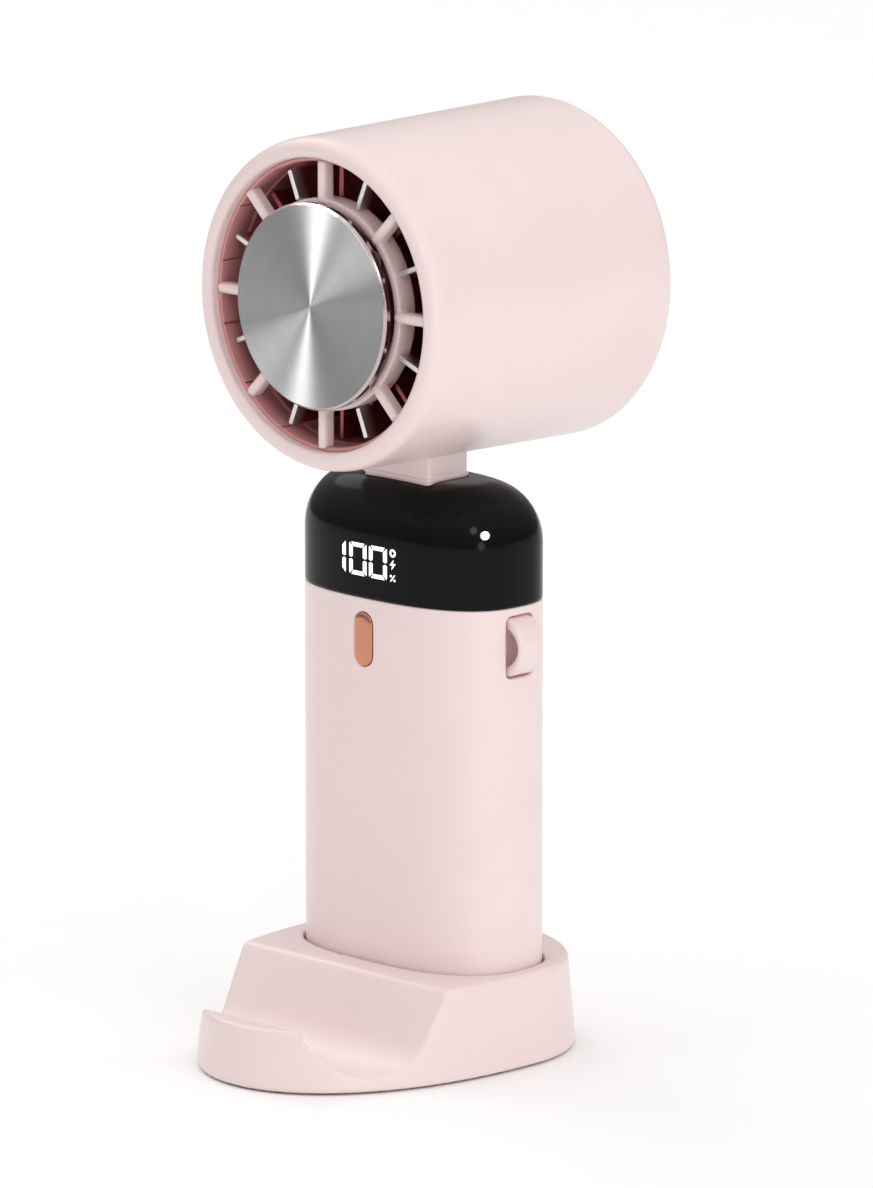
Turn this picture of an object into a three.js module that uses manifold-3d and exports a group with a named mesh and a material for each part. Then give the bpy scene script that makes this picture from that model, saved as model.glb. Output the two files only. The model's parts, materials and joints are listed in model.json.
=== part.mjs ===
// Handheld cooling fan on its phone-holder stand.
// Millimetres, +Z up. The origin is on the table, below the middle of the handle; the air blows towards -Y.
// The stand carries the handle in an oval socket. The handle holds two cells, the control board, the display
// cap and the neck of the head. The head is a straight-through duct: rear grille, motor mount, impeller,
// finned heat sink, thermoelectric module, and the cold plate in the middle of the front grille.
import * as THREE from "three";
import { mergeVertices } from "three/addons/utils/BufferGeometryUtils.js";
import Module from "manifold-3d";

const wasm = await Module();
wasm.setup();

// ---------------------------------------------------------------- driving dimensions
const GAP = 0.3; // between pieces that would touch
const HANDLE_A = 24.15; // half width of the oval handle
const HANDLE_B = 14.3; // half depth
const HANDLE_POWER = 2.6; // exponent of the superellipse
const HANDLE_WALL = 2;
const HANDLE_BOTTOM = 4.7;
const CAP_BOTTOM = 83.5; // split line between the handle and the display cap
const CAP_TOP = 104.5;
const CAP_SHOULDER = 9.5; // how far the shoulder comes in
const CAP_SHOULDER_RISE = 11;
const CAP_WALL = 1.6;
const STATUS_LIGHT = { x: 22.2, y: -7, z: 97, radius: 0.85, headingDegrees: -29.7 };

const STAND_HALF_WIDTH = 29;
const STAND_FRONT = 48.7; // from the handle's axis to the foremost point
const STAND_BACK = 25.4;
const STAND_POWER = 2.05;
const STAND_FRONT_POWER = 2.3; // of the depth in front of the handle's axis
const STAND_BOTTOM = 0.3; // lower rim of the shell, above the table
const STAND_TOP = 17;
const STAND_DRAFT = 1.1; // how much the front and sides lean in from bottom to top
const STAND_BACK_DRAFT = 1.8;
const STAND_WALL = 2;
const SOCKET_FLOOR = 4.4;
const SOCKET_CLEARANCE = 0.4;
const TROUGH_Y = -34; // centre of the phone trough's elliptic floor
const TROUGH_Z = 11.6;
const TROUGH_REACH = 9.4; // half its size from front to back
const TROUGH_DEPTH = 8.6;
const TROUGH_LEAN = 60; // degrees, slope of the rest behind the phone
const LIP_TOP = 11.4;
const PAD_TOP = 0.6;
const STAND_BOSSES = [
  [-19, -18.9],
  [19, -18.9],
  [-12, 18],
  [12, 18],
];

const HEAD_Z = 138.1; // height of the head's axis
const HEAD_FRONT = -27.6;
const HEAD_BACK = 33.1;
const HEAD_R_FRONT = 29.8;
const HEAD_R_BACK = 30.85;
const RIM_R = 27.4; // where the front rim is foremost
const MOUTH_R = 26.2; // radius of the front opening
const BORE_R = 27.9; // inside of the head shell
const DUCT_R = 25.6; // inside of the duct liner
const HUB_RING_R = 18.9; // outside of the ring round the cold plate
const PLATE_R = 18.5;
const FIN_R = 24.7;
const RIBS = 8;
const BLADES = 11;
const HEAD_SIDES = 48; // facets round the head and what fits in it

const NECK_HALF_WIDTH = 8.2;
const NECK_FRONT = -7;
const NECK_BACK = 3.2;
const NECK_BOTTOM = 102.1; // just inside the cap's roof
const NECK_MIDDLE = (NECK_FRONT + NECK_BACK) / 2;
const NECK_SCREW_X = 5.6;
const WIREWAY = [-3, 3, -4.5, 0.5]; // x and y limits of the cable channel through the neck

const CELL_R = 9.2;
const CELL_LENGTH = 65;
const CELL_BOTTOM = 13;
const CELL_TOP = CELL_BOTTOM + CELL_LENGTH;
const CELL_Y = -1.2;
const BOARD_FRONT = 8.6; // front face of the main board, behind the cells
const BOARD_BACK = 9.8;
const END_CAP_TOP = 6.9;
const END_SCREW_X = 17;
const LOOP_Z = 76.2; // middle of the lanyard loop
const POCKET = { floor: 20.9, halfWidth: 3.4, halfHeight: 5.7 }; // that the loop stands in
const BADGE = { x: -1, z: 75.9, halfWidth: 2.2, halfHeight: 4.9, proud: 0.45, sunk: 0.6 };
const BUTTONS = [
  { name: "power_button", switchName: "power_switch", z: 66, radius: 4.2 },
  { name: "cooling_button", switchName: "cooling_switch", z: 53, radius: 3.6 },
];
const BUTTON_PROUD = 0.4;

const LOOKS = {
  pink: { color: 0xeed8d6, roughness: 0.45, metalness: 0 },
  pinkInner: { color: 0xd9aeae, roughness: 0.5, metalness: 0 },
  black: { color: 0x101112, roughness: 0.12, metalness: 0 },
  aluminium: { color: 0xc9cacc, roughness: 0.3, metalness: 1 },
  steel: { color: 0x9ea0a3, roughness: 0.35, metalness: 1 },
  roseGold: { color: 0xd9977d, roughness: 0.22, metalness: 1 },
  copper: { color: 0xb87341, roughness: 0.35, metalness: 1 },
  board: { color: 0x2b6b45, roughness: 0.5, metalness: 0 },
  ceramic: { color: 0xf2f2ee, roughness: 0.5, metalness: 0 },
  cellWrap: { color: 0x4f8fc4, roughness: 0.4, metalness: 0 },
  white: { color: 0xf5f5f5, roughness: 0.4, metalness: 0 },
  rubber: { color: 0x8f8585, roughness: 0.8, metalness: 0 },
  magnet: { color: 0x3b3b3e, roughness: 0.6, metalness: 0.2 },
};

// ---------------------------------------------------------------- from geometry to solid and back
function solid(geometry) {
  const bare = geometry.index ? geometry.toNonIndexed() : geometry.clone();
  for (const name of Object.keys(bare.attributes)) {
    if (name !== "position") bare.deleteAttribute(name);
  }
  const merged = mergeVertices(bare, 1e-4);
  const corners = merged.index.array;
  const kept = [];
  for (let i = 0; i < corners.length; i += 3) {
    const [a, b, c] = corners.subarray(i, i + 3);
    if (a !== b && b !== c && c !== a) kept.push(a, b, c);
  }
  const build = (triangles) =>
    new wasm.Manifold(
      new wasm.Mesh({
        numProp: 3,
        vertProperties: merged.attributes.position.array,
        triVerts: new Uint32Array(triangles),
      }),
    );
  const made = build(kept);
  return made.volume() > 0 ? made : build(kept.reverse());
}

function union(...solids) {
  return solids.reduce((sum, next) => sum.add(next));
}

const model = new THREE.Group();

// Adds a solid to a group as one named mesh.
function piece(name, made, look, parent = model) {
  const mesh = made.getMesh();
  const geometry = new THREE.BufferGeometry();
  geometry.setAttribute("position", new THREE.BufferAttribute(mesh.vertProperties, 3));
  geometry.setIndex(new THREE.BufferAttribute(mesh.triVerts, 1));
  geometry.computeVertexNormals();
  const node = new THREE.Mesh(geometry, new THREE.MeshStandardMaterial(LOOKS[look]));
  node.name = name;
  parent.add(node);
}

// ---------------------------------------------------------------- shapes
// A solid of revolution round the Y axis, from a closed profile of [radius, y] points. A profile that
// starts and ends on the axis is closed by the axis itself.
function turned(profile, segments = 24) {
  const points = profile.map(([radius, y]) => new THREE.Vector2(radius, y));
  if (profile[0][0] > 0) points.push(points[0].clone());
  return solid(new THREE.LatheGeometry(points, segments));
}

function tube(inner, outer, y0, y1, segments) {
  const profile = [
    [inner, y0],
    [outer, y0],
    [outer, y1],
    [inner, y1],
  ];
  return turned(profile, segments);
}

function disc(radius, y0, y1, segments) {
  return tube(0, radius, y0, y1, segments);
}

// Points along an elliptic arc, angles in degrees.
function arc(x, y, rx, ry, from, to, steps) {
  return Array.from({ length: steps + 1 }, (_, i) => {
    const angle = THREE.MathUtils.degToRad(from + ((to - from) * i) / steps);
    return [x + rx * Math.cos(angle), y + ry * Math.sin(angle)];
  });
}

function extrude(points, depth) {
  const shape = new THREE.Shape(points.map(([x, y]) => new THREE.Vector2(x, y)));
  return new THREE.ExtrudeGeometry(shape, { depth, bevelEnabled: false });
}

// A prism standing on z0, from an outline in X and Y.
function upright(points, z0, z1) {
  return solid(extrude(points, z1 - z0).translate(0, 0, z0));
}

// A prism along X, from an outline in Y and Z.
function crosswise(points, x0, x1) {
  const geometry = extrude(points, x1 - x0).rotateX(Math.PI / 2).rotateZ(Math.PI / 2);
  return solid(geometry.translate(x0, 0, 0));
}

// A prism along Y, from an outline in X and Z.
function lengthwise(points, y0, y1) {
  return solid(extrude(points, y1 - y0).rotateX(Math.PI / 2).translate(0, y1, 0));
}

function block(x0, x1, y0, y1, z0, z1) {
  const geometry = new THREE.BoxGeometry(x1 - x0, y1 - y0, z1 - z0);
  return solid(geometry.translate((x0 + x1) / 2, (y0 + y1) / 2, (z0 + z1) / 2));
}

function post(x, y, radius, z0, z1, segments = 12) {
  const geometry = new THREE.CylinderGeometry(radius, radius, z1 - z0, segments);
  return solid(geometry.rotateX(Math.PI / 2).translate(x, y, (z0 + z1) / 2));
}

// A screw that points up, with its head seated at z.
function screw(x, y, z, headRadius, shankRadius, length, headHeight = 0.8) {
  const head = post(x, y, headRadius, z - headHeight, z);
  return head.add(post(x, y, shankRadius, z - 0.1, z + length, 10));
}

function roundedBar(halfWidth, halfHeight, radius, steps = 4) {
  return [
    ...arc(halfWidth - radius, halfHeight - radius, radius, radius, 0, 90, steps),
    ...arc(radius - halfWidth, halfHeight - radius, radius, radius, 90, 180, steps),
    ...arc(radius - halfWidth, radius - halfHeight, radius, radius, 180, 270, steps),
    ...arc(halfWidth - radius, radius - halfHeight, radius, radius, 270, 360, steps),
  ];
}

// An oval outline whose front (-Y) half may differ from its back half.
function oval(halfWidth, front, back, power, frontPower = power, count = 36) {
  const bow = (value, exponent) => Math.sign(value) * Math.abs(value) ** (2 / exponent);
  return Array.from({ length: count }, (_, i) => {
    const angle = (2 * Math.PI * i) / count;
    const depth = Math.sin(angle) < 0 ? [front, frontPower] : [back, power];
    return [halfWidth * bow(Math.cos(angle), power), depth[0] * bow(Math.sin(angle), depth[1])];
  });
}

// The handle's section, moved inwards by inset.
function handleOval(inset) {
  return oval(HANDLE_A - inset, HANDLE_B - inset, HANDLE_B - inset, HANDLE_POWER);
}

// The stand's outline at a height, leaning in with the draft.
function standOval(z, inset) {
  const lean = inset + (STAND_DRAFT * z) / STAND_TOP;
  const backLean = inset + (STAND_BACK_DRAFT * z) / STAND_TOP;
  return oval(
    STAND_HALF_WIDTH - lean,
    STAND_FRONT - lean,
    STAND_BACK - backLean,
    STAND_POWER,
    STAND_FRONT_POWER,
  );
}

// A closed skin over outlines of equal point count, lowest first: [[z, outline], ...].
function loft(levels) {
  const count = levels[0][1].length;
  const position = [];
  for (const [z, outline] of levels) {
    for (const [x, y] of outline) position.push(x, y, z);
  }
  const bottom = position.length / 3;
  position.push(0, 0, levels[0][0], 0, 0, levels.at(-1)[0]);
  const index = [];
  const top = (levels.length - 1) * count;
  for (let i = 0; i < count; i++) {
    const next = (i + 1) % count;
    index.push(bottom, next, i, bottom + 1, top + i, top + next);
    for (let low = 0; low < top; low += count) {
      const high = low + count;
      index.push(low + i, low + next, high + next, low + i, high + next, high + i);
    }
  }
  const geometry = new THREE.BufferGeometry();
  geometry.setAttribute("position", new THREE.Float32BufferAttribute(position, 3));
  geometry.setIndex(index);
  return solid(geometry);
}

// The same solid several times round the Y axis, joined.
function around(made, count, startDegrees = 0) {
  const turns = Array.from({ length: count }, (_, i) => startDegrees + (360 * i) / count);
  return union(...turns.map((degrees) => made.rotate([0, degrees, 0])));
}

// A fan blade or guide vane from root to tip radius, curved as it goes from y0 to y1.
function blade(rootRadius, tipRadius, y0, y1, leanRadians, thickness, spans = 1, steps = 3) {
  const position = [];
  for (let i = 0; i <= spans; i++) {
    const radius = rootRadius + ((tipRadius - rootRadius) * i) / spans;
    for (const side of [-1, 1]) {
      for (let k = 0; k <= steps; k++) {
        const share = side < 0 ? k / steps : 1 - k / steps;
        const curve = share + 0.35 * share * (1 - share);
        const turn = leanRadians * curve + (side * thickness) / (2 * radius);
        position.push(radius * Math.sin(turn), y0 + (y1 - y0) * share, radius * Math.cos(turn));
      }
    }
  }
  const ring = 2 * (steps + 1);
  const tip = spans * ring;
  const index = [];
  for (let k = 0; k < ring; k++) {
    const next = (k + 1) % ring;
    for (let low = 0; low < tip; low += ring) {
      const high = low + ring;
      // Both faces are divided along the same diagonal, so that the thickness stays even.
      if (k > steps) index.push(low + k, low + next, high + k, low + next, high + next, high + k);
      else index.push(low + k, low + next, high + next, low + k, high + next, high + k);
    }
  }
  for (let k = 0; k < steps; k++) {
    const [a, b, c, d] = [k, k + 1, ring - 2 - k, ring - 1 - k];
    index.push(b, a, d, b, d, c);
    index.push(tip + a, tip + b, tip + c, tip + a, tip + c, tip + d);
  }
  const geometry = new THREE.BufferGeometry();
  geometry.setAttribute("position", new THREE.Float32BufferAttribute(position, 3));
  geometry.setIndex(index);
  return solid(geometry);
}

// ---------------------------------------------------------------- stand
// The free space above the trough's floor, between the lip and the phone rest, as an outline in Y and Z;
// grow moves its boundary into the material.
function troughOutline(grow) {
  const [reach, depth] = [TROUGH_REACH + grow, TROUGH_DEPTH + grow];
  const slope = Math.tan(THREE.MathUtils.degToRad(TROUGH_LEAN));
  const tangentAngle = THREE.MathUtils.radToDeg(Math.atan((slope * reach) / depth));
  const floor = arc(TROUGH_Y, TROUGH_Z, reach, depth, 180, 270 + tangentAngle, 10);
  const [tangentY, tangentZ] = floor.at(-1);
  const above = STAND_TOP + 6;
  const ahead = -STAND_FRONT - 10;
  const restY = tangentY + (above - tangentZ) / slope;
  const lipRounding = 1;
  const lipInner = TROUGH_Y - reach;
  return [
    [ahead, above],
    [ahead, LIP_TOP - grow],
    [lipInner - lipRounding, LIP_TOP - grow],
    [lipInner - 0.3, LIP_TOP - grow - 0.3],
    ...floor.filter(([, z]) => z < LIP_TOP - lipRounding),
    [restY, above],
  ];
}

function buildStand() {
  const topEdge = 0.8;
  const outside = loft([
    [STAND_BOTTOM, standOval(STAND_BOTTOM, 1)],
    [STAND_BOTTOM + 0.7, standOval(STAND_BOTTOM + 0.7, 0)],
    [STAND_TOP - topEdge, standOval(STAND_TOP - topEdge, 0)],
    [STAND_TOP, standOval(STAND_TOP, topEdge)],
  ]);
  const trough = crosswise(troughOutline(0), -40, 40);
  const socket = upright(handleOval(-SOCKET_CLEARANCE), SOCKET_FLOOR, STAND_TOP + 5);
  const cup = upright(handleOval(-SOCKET_CLEARANCE - 1.6), 0, STAND_TOP);
  const behindLip = block(-40, 40, TROUGH_Y, 40, -1, STAND_TOP);
  const cavity = loft([
    [0, standOval(0, STAND_WALL)],
    [STAND_TOP - STAND_WALL, standOval(STAND_TOP - STAND_WALL, STAND_WALL)],
  ])
    .intersect(behindLip)
    .subtract(crosswise(troughOutline(1.6), -40, 40))
    .subtract(cup);
  const underSocket = upright(handleOval(1), 0, SOCKET_FLOOR - 1.6);
  const plateRecess = upright(standOval(0, 1.9), 0, 2);

  const seat = 1.4; // height of the counterbores in the plate
  let shell = outside.subtract(trough).subtract(socket).subtract(cavity);
  shell = shell.subtract(underSocket).subtract(plateRecess);
  let plate = upright(standOval(0, 2.2), 0.8, 1.85);
  for (const [i, [x, y]] of STAND_BOSSES.entries()) {
    const boss = post(x, y, 2.6, 2, STAND_TOP - 3).subtract(trough).subtract(socket);
    shell = shell.add(boss).subtract(post(x, y, 1.1, 1, 9));
    plate = plate.subtract(post(x, y, 1.15, 0, 3)).subtract(post(x, y, 2.15, 0, seat));
    piece(`stand_screw_${i + 1}`, screw(x, y, seat - 0.05, 1.9, 0.9, 6, 0.5), "steel");
  }
  piece("stand_shell", shell, "pink");
  piece("stand_bottom_plate", plate, "pinkInner");
  piece("stand_grip_pad", upright(standOval(0, 3.4), 0, PAD_TOP), "rubber");
}

// ---------------------------------------------------------------- handle
// A prism along X with the pocket's section, grown all round.
function pocketPrism(x0, x1, grow) {
  const section = roundedBar(POCKET.halfWidth + grow, POCKET.halfHeight + grow, 1 + grow);
  return crosswise(section, x0, x1).translate([0, 0, LOOP_Z]);
}

function badgePlate(grow, y0, y1) {
  const outline = roundedBar(BADGE.halfWidth + grow, BADGE.halfHeight + grow, BADGE.halfWidth + grow, 5);
  return lengthwise(outline, y0, y1).translate([BADGE.x, 0, BADGE.z]);
}

function buildHandleShell() {
  const outside = upright(handleOval(0), HANDLE_BOTTOM, CAP_BOTTOM - 0.15);
  const inside = upright(handleOval(HANDLE_WALL), 0, CAP_BOTTOM + 1);
  const ledge = upright(handleOval(HANDLE_WALL - 0.2), END_CAP_TOP + 0.2, END_CAP_TOP + 1.4).subtract(
    upright(handleOval(HANDLE_WALL + 1.2), 0, CAP_BOTTOM),
  );
  const pocketCup = pocketPrism(POCKET.floor - 1.2, HANDLE_A, 1.1).intersect(
    upright(handleOval(0.5), 0, CAP_BOTTOM - 0.15),
  );
  let shell = outside.subtract(inside).add(ledge).add(pocketCup);
  shell = shell.subtract(pocketPrism(POCKET.floor, HANDLE_A + 5, 0));
  shell = shell.subtract(badgePlate(0.2, -HANDLE_B - 2, -HANDLE_B + BADGE.sunk));
  for (const { z, radius } of BUTTONS) {
    shell = shell.subtract(disc(radius + 0.2, HANDLE_B - 4, HANDLE_B + 2, 20).translate([0, 0, z]));
  }
  piece("handle_shell", shell, "pink");
  piece("front_badge", badgePlate(0, -HANDLE_B - BADGE.proud, -HANDLE_B + BADGE.sunk - 0.15), "roseGold");
}

function buildLanyardLoop() {
  // A bar bowed out of the pocket, with both its feet on the pocket's floor.
  const bow = POCKET.halfHeight - GAP;
  const foot = POCKET.floor + 0.15;
  const outline = [
    [foot, -bow],
    ...arc(HANDLE_A - 1.4, 0, 4.3, bow, -90, 90, 14),
    [foot, bow],
    ...arc(HANDLE_A - 3, 0, 4.2, bow - 1.9, 90, -90, 12).map(([x, z]) => [Math.max(x, foot), z]),
  ];
  const halfWidth = POCKET.halfWidth - 0.5;
  const loop = lengthwise(outline, -halfWidth, halfWidth).translate([0, 0, LOOP_Z]);
  piece("lanyard_loop", loop, "pink");
}

function buildButtons() {
  const flangeFront = HANDLE_B - HANDLE_WALL - 0.75;
  const flangeBack = flangeFront + 0.55;
  const face = HANDLE_B + BUTTON_PROUD;
  for (const { name, switchName, z, radius } of BUTTONS) {
    const profile = [
      [0, flangeFront - 0.3],
      [0.9, flangeFront - 0.3],
      [0.9, flangeFront],
      [radius + 0.9, flangeFront],
      [radius + 0.9, flangeBack],
      [radius, flangeBack],
      [radius, face - 0.3],
      [radius - 0.3, face],
      [0, face - 0.15],
    ];
    piece(name, turned(profile, 20).translate([0, 0, z]), "pink");
    const body = block(-2.6, 2.6, BOARD_BACK + 0.05, BOARD_BACK + 0.7, z - 2.6, z + 2.6);
    const plunger = disc(1, BOARD_BACK + 0.6, BOARD_BACK + 0.95, 12).translate([0, 0, z]);
    piece(switchName, body.add(plunger), "steel");
  }
}

function buildPower() {
  const profile = [
    [0, 0],
    [CELL_R, 0],
    [CELL_R, CELL_LENGTH - 1.6],
    [CELL_R - 0.5, CELL_LENGTH - 1.1],
    [3, CELL_LENGTH - 1.1],
    [3, CELL_LENGTH],
    [0, CELL_LENGTH],
  ];
  const cell = turned(profile, 28).rotate([90, 0, 0]).translate([0, CELL_Y, CELL_BOTTOM]);
  const [stripFront, stripBack] = [CELL_Y - 2.5, CELL_Y + 2.5];
  for (const [side, sign] of [["left", -1], ["right", 1]]) {
    const x = sign * (CELL_R + GAP);
    piece(`battery_cell_${side}`, cell.translate([x, 0, 0]), "cellWrap");
    const strip = block(x - 3, x + 3, stripFront, stripBack, CELL_BOTTOM - 0.3, CELL_BOTTOM - 0.1);
    piece(`cell_strip_bottom_${side}`, strip, "steel");
  }
  const bridge = block(-13, 13, stripFront, stripBack, CELL_TOP + 0.1, CELL_TOP + 0.3);
  piece("cell_strip_top", bridge, "steel");

  // The carrier stands on the end cap with two bosses, and closes over the cells below and above.
  const front = -11.9;
  const back = 7.6;
  const floor = CELL_BOTTOM - 1.9;
  const roof = CELL_TOP + 2.2;
  let carrier = union(
    block(-14, 14, front, CELL_Y - CELL_R - 0.2, floor, roof),
    block(-20, 20, front, back, floor, floor + 1.4),
    block(-17, 17, front, back, roof - 1.5, roof),
  ).intersect(upright(handleOval(HANDLE_WALL + 0.3), 0, CAP_TOP));
  for (const x of [-END_SCREW_X, END_SCREW_X]) {
    carrier = carrier.add(post(x, 0, 2.2, END_CAP_TOP + 0.3, floor + 0.5));
    carrier = carrier.subtract(post(x, 0, 1.1, 0, floor + 3));
  }
  piece("battery_carrier", carrier, "white");
  piece("main_board", block(-10, 10, BOARD_FRONT, BOARD_BACK, 16, 80), "board");
}

function buildHandleEnd() {
  const slot = upright(roundedBar(4.7, 1.85, 1.8), 0, 20);
  const section = handleOval(HANDLE_WALL + 0.2);
  let endCap = upright(section, HANDLE_BOTTOM + 0.1, END_CAP_TOP).subtract(slot);
  const seat = HANDLE_BOTTOM + 1.2;
  for (const [i, x] of [-END_SCREW_X, END_SCREW_X].entries()) {
    endCap = endCap.subtract(post(x, 0, 1.15, 0, 20)).subtract(post(x, 0, 2.2, 0, seat));
    piece(`end_screw_${i + 1}`, screw(x, 0, seat - 0.05, 1.9, 0.9, 4.6), "steel");
  }
  piece("handle_end_cap", endCap, "pink");

  const [portBottom, portTop] = [HANDLE_BOTTOM + 0.2, HANDLE_BOTTOM + 6];
  const port = upright(roundedBar(4.47, 1.6, 1.55), portBottom, portTop);
  const mouth = upright(roundedBar(4.17, 1.3, 1.25), 0, portTop - 0.8);
  const tongue = block(-3.3, 3.3, -0.35, 0.35, portBottom + 0.8, portTop);
  piece("usb_port", port.subtract(mouth).add(tongue), "steel");
  piece("usb_board", block(-9, 9, 1.9, 2.9, END_CAP_TOP + 0.2, portTop), "board");
}

// ---------------------------------------------------------------- display cap
// The quarter round at the top of the cap, as outlines that draw in as they rise.
function shoulderLevels(inset, steps) {
  const rise = CAP_SHOULDER_RISE - inset;
  const top = CAP_TOP - inset;
  return arc(0, 0, CAP_SHOULDER, rise, 0, 90, steps).map(([along, up]) => [
    top - rise + up,
    handleOval(inset + CAP_SHOULDER - along),
  ]);
}

// A round bar through the status light's place, square to the cap's surface.
function lightBar(radius, from, to) {
  const heading = THREE.MathUtils.degToRad(STATUS_LIGHT.headingDegrees);
  const geometry = new THREE.CylinderGeometry(radius, radius, to - from, 14);
  geometry.translate(0, (from + to) / 2, 0).rotateZ(heading - Math.PI / 2);
  return solid(geometry.translate(STATUS_LIGHT.x, STATUS_LIGHT.y, STATUS_LIGHT.z));
}

function neckBlock(grow, z0, z1) {
  const x = NECK_HALF_WIDTH + grow;
  return block(-x, x, NECK_FRONT - grow, NECK_BACK + grow, z0, z1);
}

function buildDisplayCap() {
  const outside = loft([[CAP_BOTTOM, handleOval(0)], ...shoulderLevels(0, 5)]);
  const inside = loft([[CAP_BOTTOM - 1, handleOval(CAP_WALL)], ...shoulderLevels(CAP_WALL, 3)]);
  // The spigot reaches down inside the handle, with a notch for the lanyard pocket.
  const spigotInset = HANDLE_WALL + 0.3;
  const spigot = union(
    upright(handleOval(spigotInset), CAP_BOTTOM - 2.7, CAP_BOTTOM + 0.5),
    upright(handleOval(CAP_WALL - 0.3), CAP_BOTTOM + 0.3, CAP_BOTTOM + 1.6),
  )
    .subtract(upright(handleOval(spigotInset + 1.3), CAP_BOTTOM - 5, CAP_BOTTOM + 3))
    .subtract(block(16, HANDLE_A, -5.5, 5.5, CAP_BOTTOM - 5, CAP_BOTTOM + 0.2));
  const light = lightBar(STATUS_LIGHT.radius + 0.15, -6, 6);
  const cap = outside.subtract(inside).add(spigot).subtract(neckBlock(GAP, CAP_BOTTOM, CAP_TOP + 5));
  piece("display_cap", cap.subtract(light), "black");
  piece("status_light", outside.intersect(lightBar(STATUS_LIGHT.radius, -3.4, 6)), "white");
  piece("display_board", block(-11, 11, -10.6, -9.6, 85.4, 96), "board");
  piece("display_module", block(-8.6, 8.6, -11.9, -10.8, 86, 94.4), "white");
}

// Inside the cap: a plate that pulls the neck down on the roof, on two legs that stand on the carrier.
function buildNeckBracket() {
  const plateTop = NECK_BOTTOM - GAP;
  const plateBottom = plateTop - 2.1;
  const foot = CELL_TOP + 2.4;
  let bracket = union(
    block(-11.5, 11.5, -6.4, 6.4, plateBottom, plateTop),
    block(-11.5, -9.6, -5, 5, foot, plateBottom + 0.1),
    block(9.6, 11.5, -5, 5, foot, plateBottom + 0.1),
  ).subtract(block(...WIREWAY, 80, 120));
  for (const [i, x] of [-NECK_SCREW_X, NECK_SCREW_X].entries()) {
    bracket = bracket.subtract(post(x, NECK_MIDDLE, 1, 80, 120, 12));
    piece(`neck_screw_${i + 1}`, screw(x, NECK_MIDDLE, plateBottom - 0.05, 1.7, 0.8, 6.4), "steel");
  }
  piece("neck_bracket", bracket, "white");
}

// ---------------------------------------------------------------- head
function buildHeadShell() {
  const backEdge = 2.5;
  const profile = [
    [BORE_R, HEAD_BACK - 0.8],
    [BORE_R, -21],
    [MOUTH_R, -21],
    ...arc(RIM_R, HEAD_FRONT + 1, RIM_R - MOUTH_R, 1, 180, 270, 2),
    ...arc(RIM_R, HEAD_FRONT + 3, HEAD_R_FRONT - RIM_R, 3, 290, 360, 4),
    ...arc(HEAD_R_BACK - backEdge, HEAD_BACK - backEdge, backEdge, backEdge, 0, 90, 3),
    [BORE_R + 0.3, HEAD_BACK],
  ];
  const drum = turned(profile, HEAD_SIDES).translate([0, 0, HEAD_Z]);
  const bore = disc(BORE_R, HEAD_FRONT, HEAD_BACK, HEAD_SIDES).translate([0, 0, HEAD_Z]);
  const crown = HEAD_Z - HEAD_R_FRONT + 3;
  const neck = neckBlock(0, NECK_BOTTOM, crown).subtract(bore);
  let shell = drum.add(neck).subtract(block(...WIREWAY, 80, crown + 5));
  for (const x of [-NECK_SCREW_X, NECK_SCREW_X]) {
    shell = shell.subtract(post(x, NECK_MIDDLE, 1, 90, NECK_BOTTOM + 5, 12));
  }
  piece("head_shell", shell, "pink");
}

function buildFrontGrille(head) {
  const hub = turned(
    [
      [15, -22.6],
      [17.4, -22.6],
      [17.4, -25.1],
      [17.7, -25.3],
      [18.5, -25.3],
      [HUB_RING_R, -24.9],
      [HUB_RING_R, -21.2],
      [15, -21.2],
    ],
    32,
  );
  const hoop = turned(
    [
      [25, -21.3],
      [25, -26],
      [25.3, -26.4],
      [25.9, -26.4],
      [25.9, -21.3],
    ],
    HEAD_SIDES,
  );
  // A rib's section, round at the front; it runs from the hub to the hoop.
  const section = [...arc(0, -25, 1, 1.1, 180, 360, 5), [1, -21.3], [-1, -21.3]];
  const rib = solid(extrude(section, 7).translate(0, 0, 18.4));
  piece("front_grille", union(hub, hoop, around(rib, RIBS)), "pink", head);
}

function buildColdPlate(head) {
  const profile = [
    [0, -28.6],
    [PLATE_R - 0.35, -28.6],
    [PLATE_R, -28.3],
    [PLATE_R, -27.2],
    [14.6, -27.2],
    [14.6, -24.4],
    [0, -24.4],
  ];
  piece("cold_plate", turned(profile, HEAD_SIDES), "aluminium", head);
  piece("thermoelectric_module", block(-10, 10, -24.2, -20.9, -10, 10), "ceramic", head);
}

function buildHeatSink(head) {
  const base = disc(16.6, -20.7, -17.7, 24);
  // Every other fin reaches forward between the grille's ribs; the rest end behind a rib.
  const finBack = [
    [FIN_R, -9],
    [10, -9],
    [10, -18],
    [14, -20.7],
  ];
  const longFin = [...finBack, [HUB_RING_R + 0.3, -20.7], [HUB_RING_R + 0.3, -24.3], [FIN_R, -24.3]];
  const shortFin = [...finBack, [FIN_R, -20.7]];
  const plate = (outline) => solid(extrude(outline, 1).translate(0, 0, -0.5));
  const fins = around(plate(longFin), RIBS, 180 / RIBS).add(around(plate(shortFin), RIBS));
  piece("heat_sink", base.add(fins), "aluminium", head);
}

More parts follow.
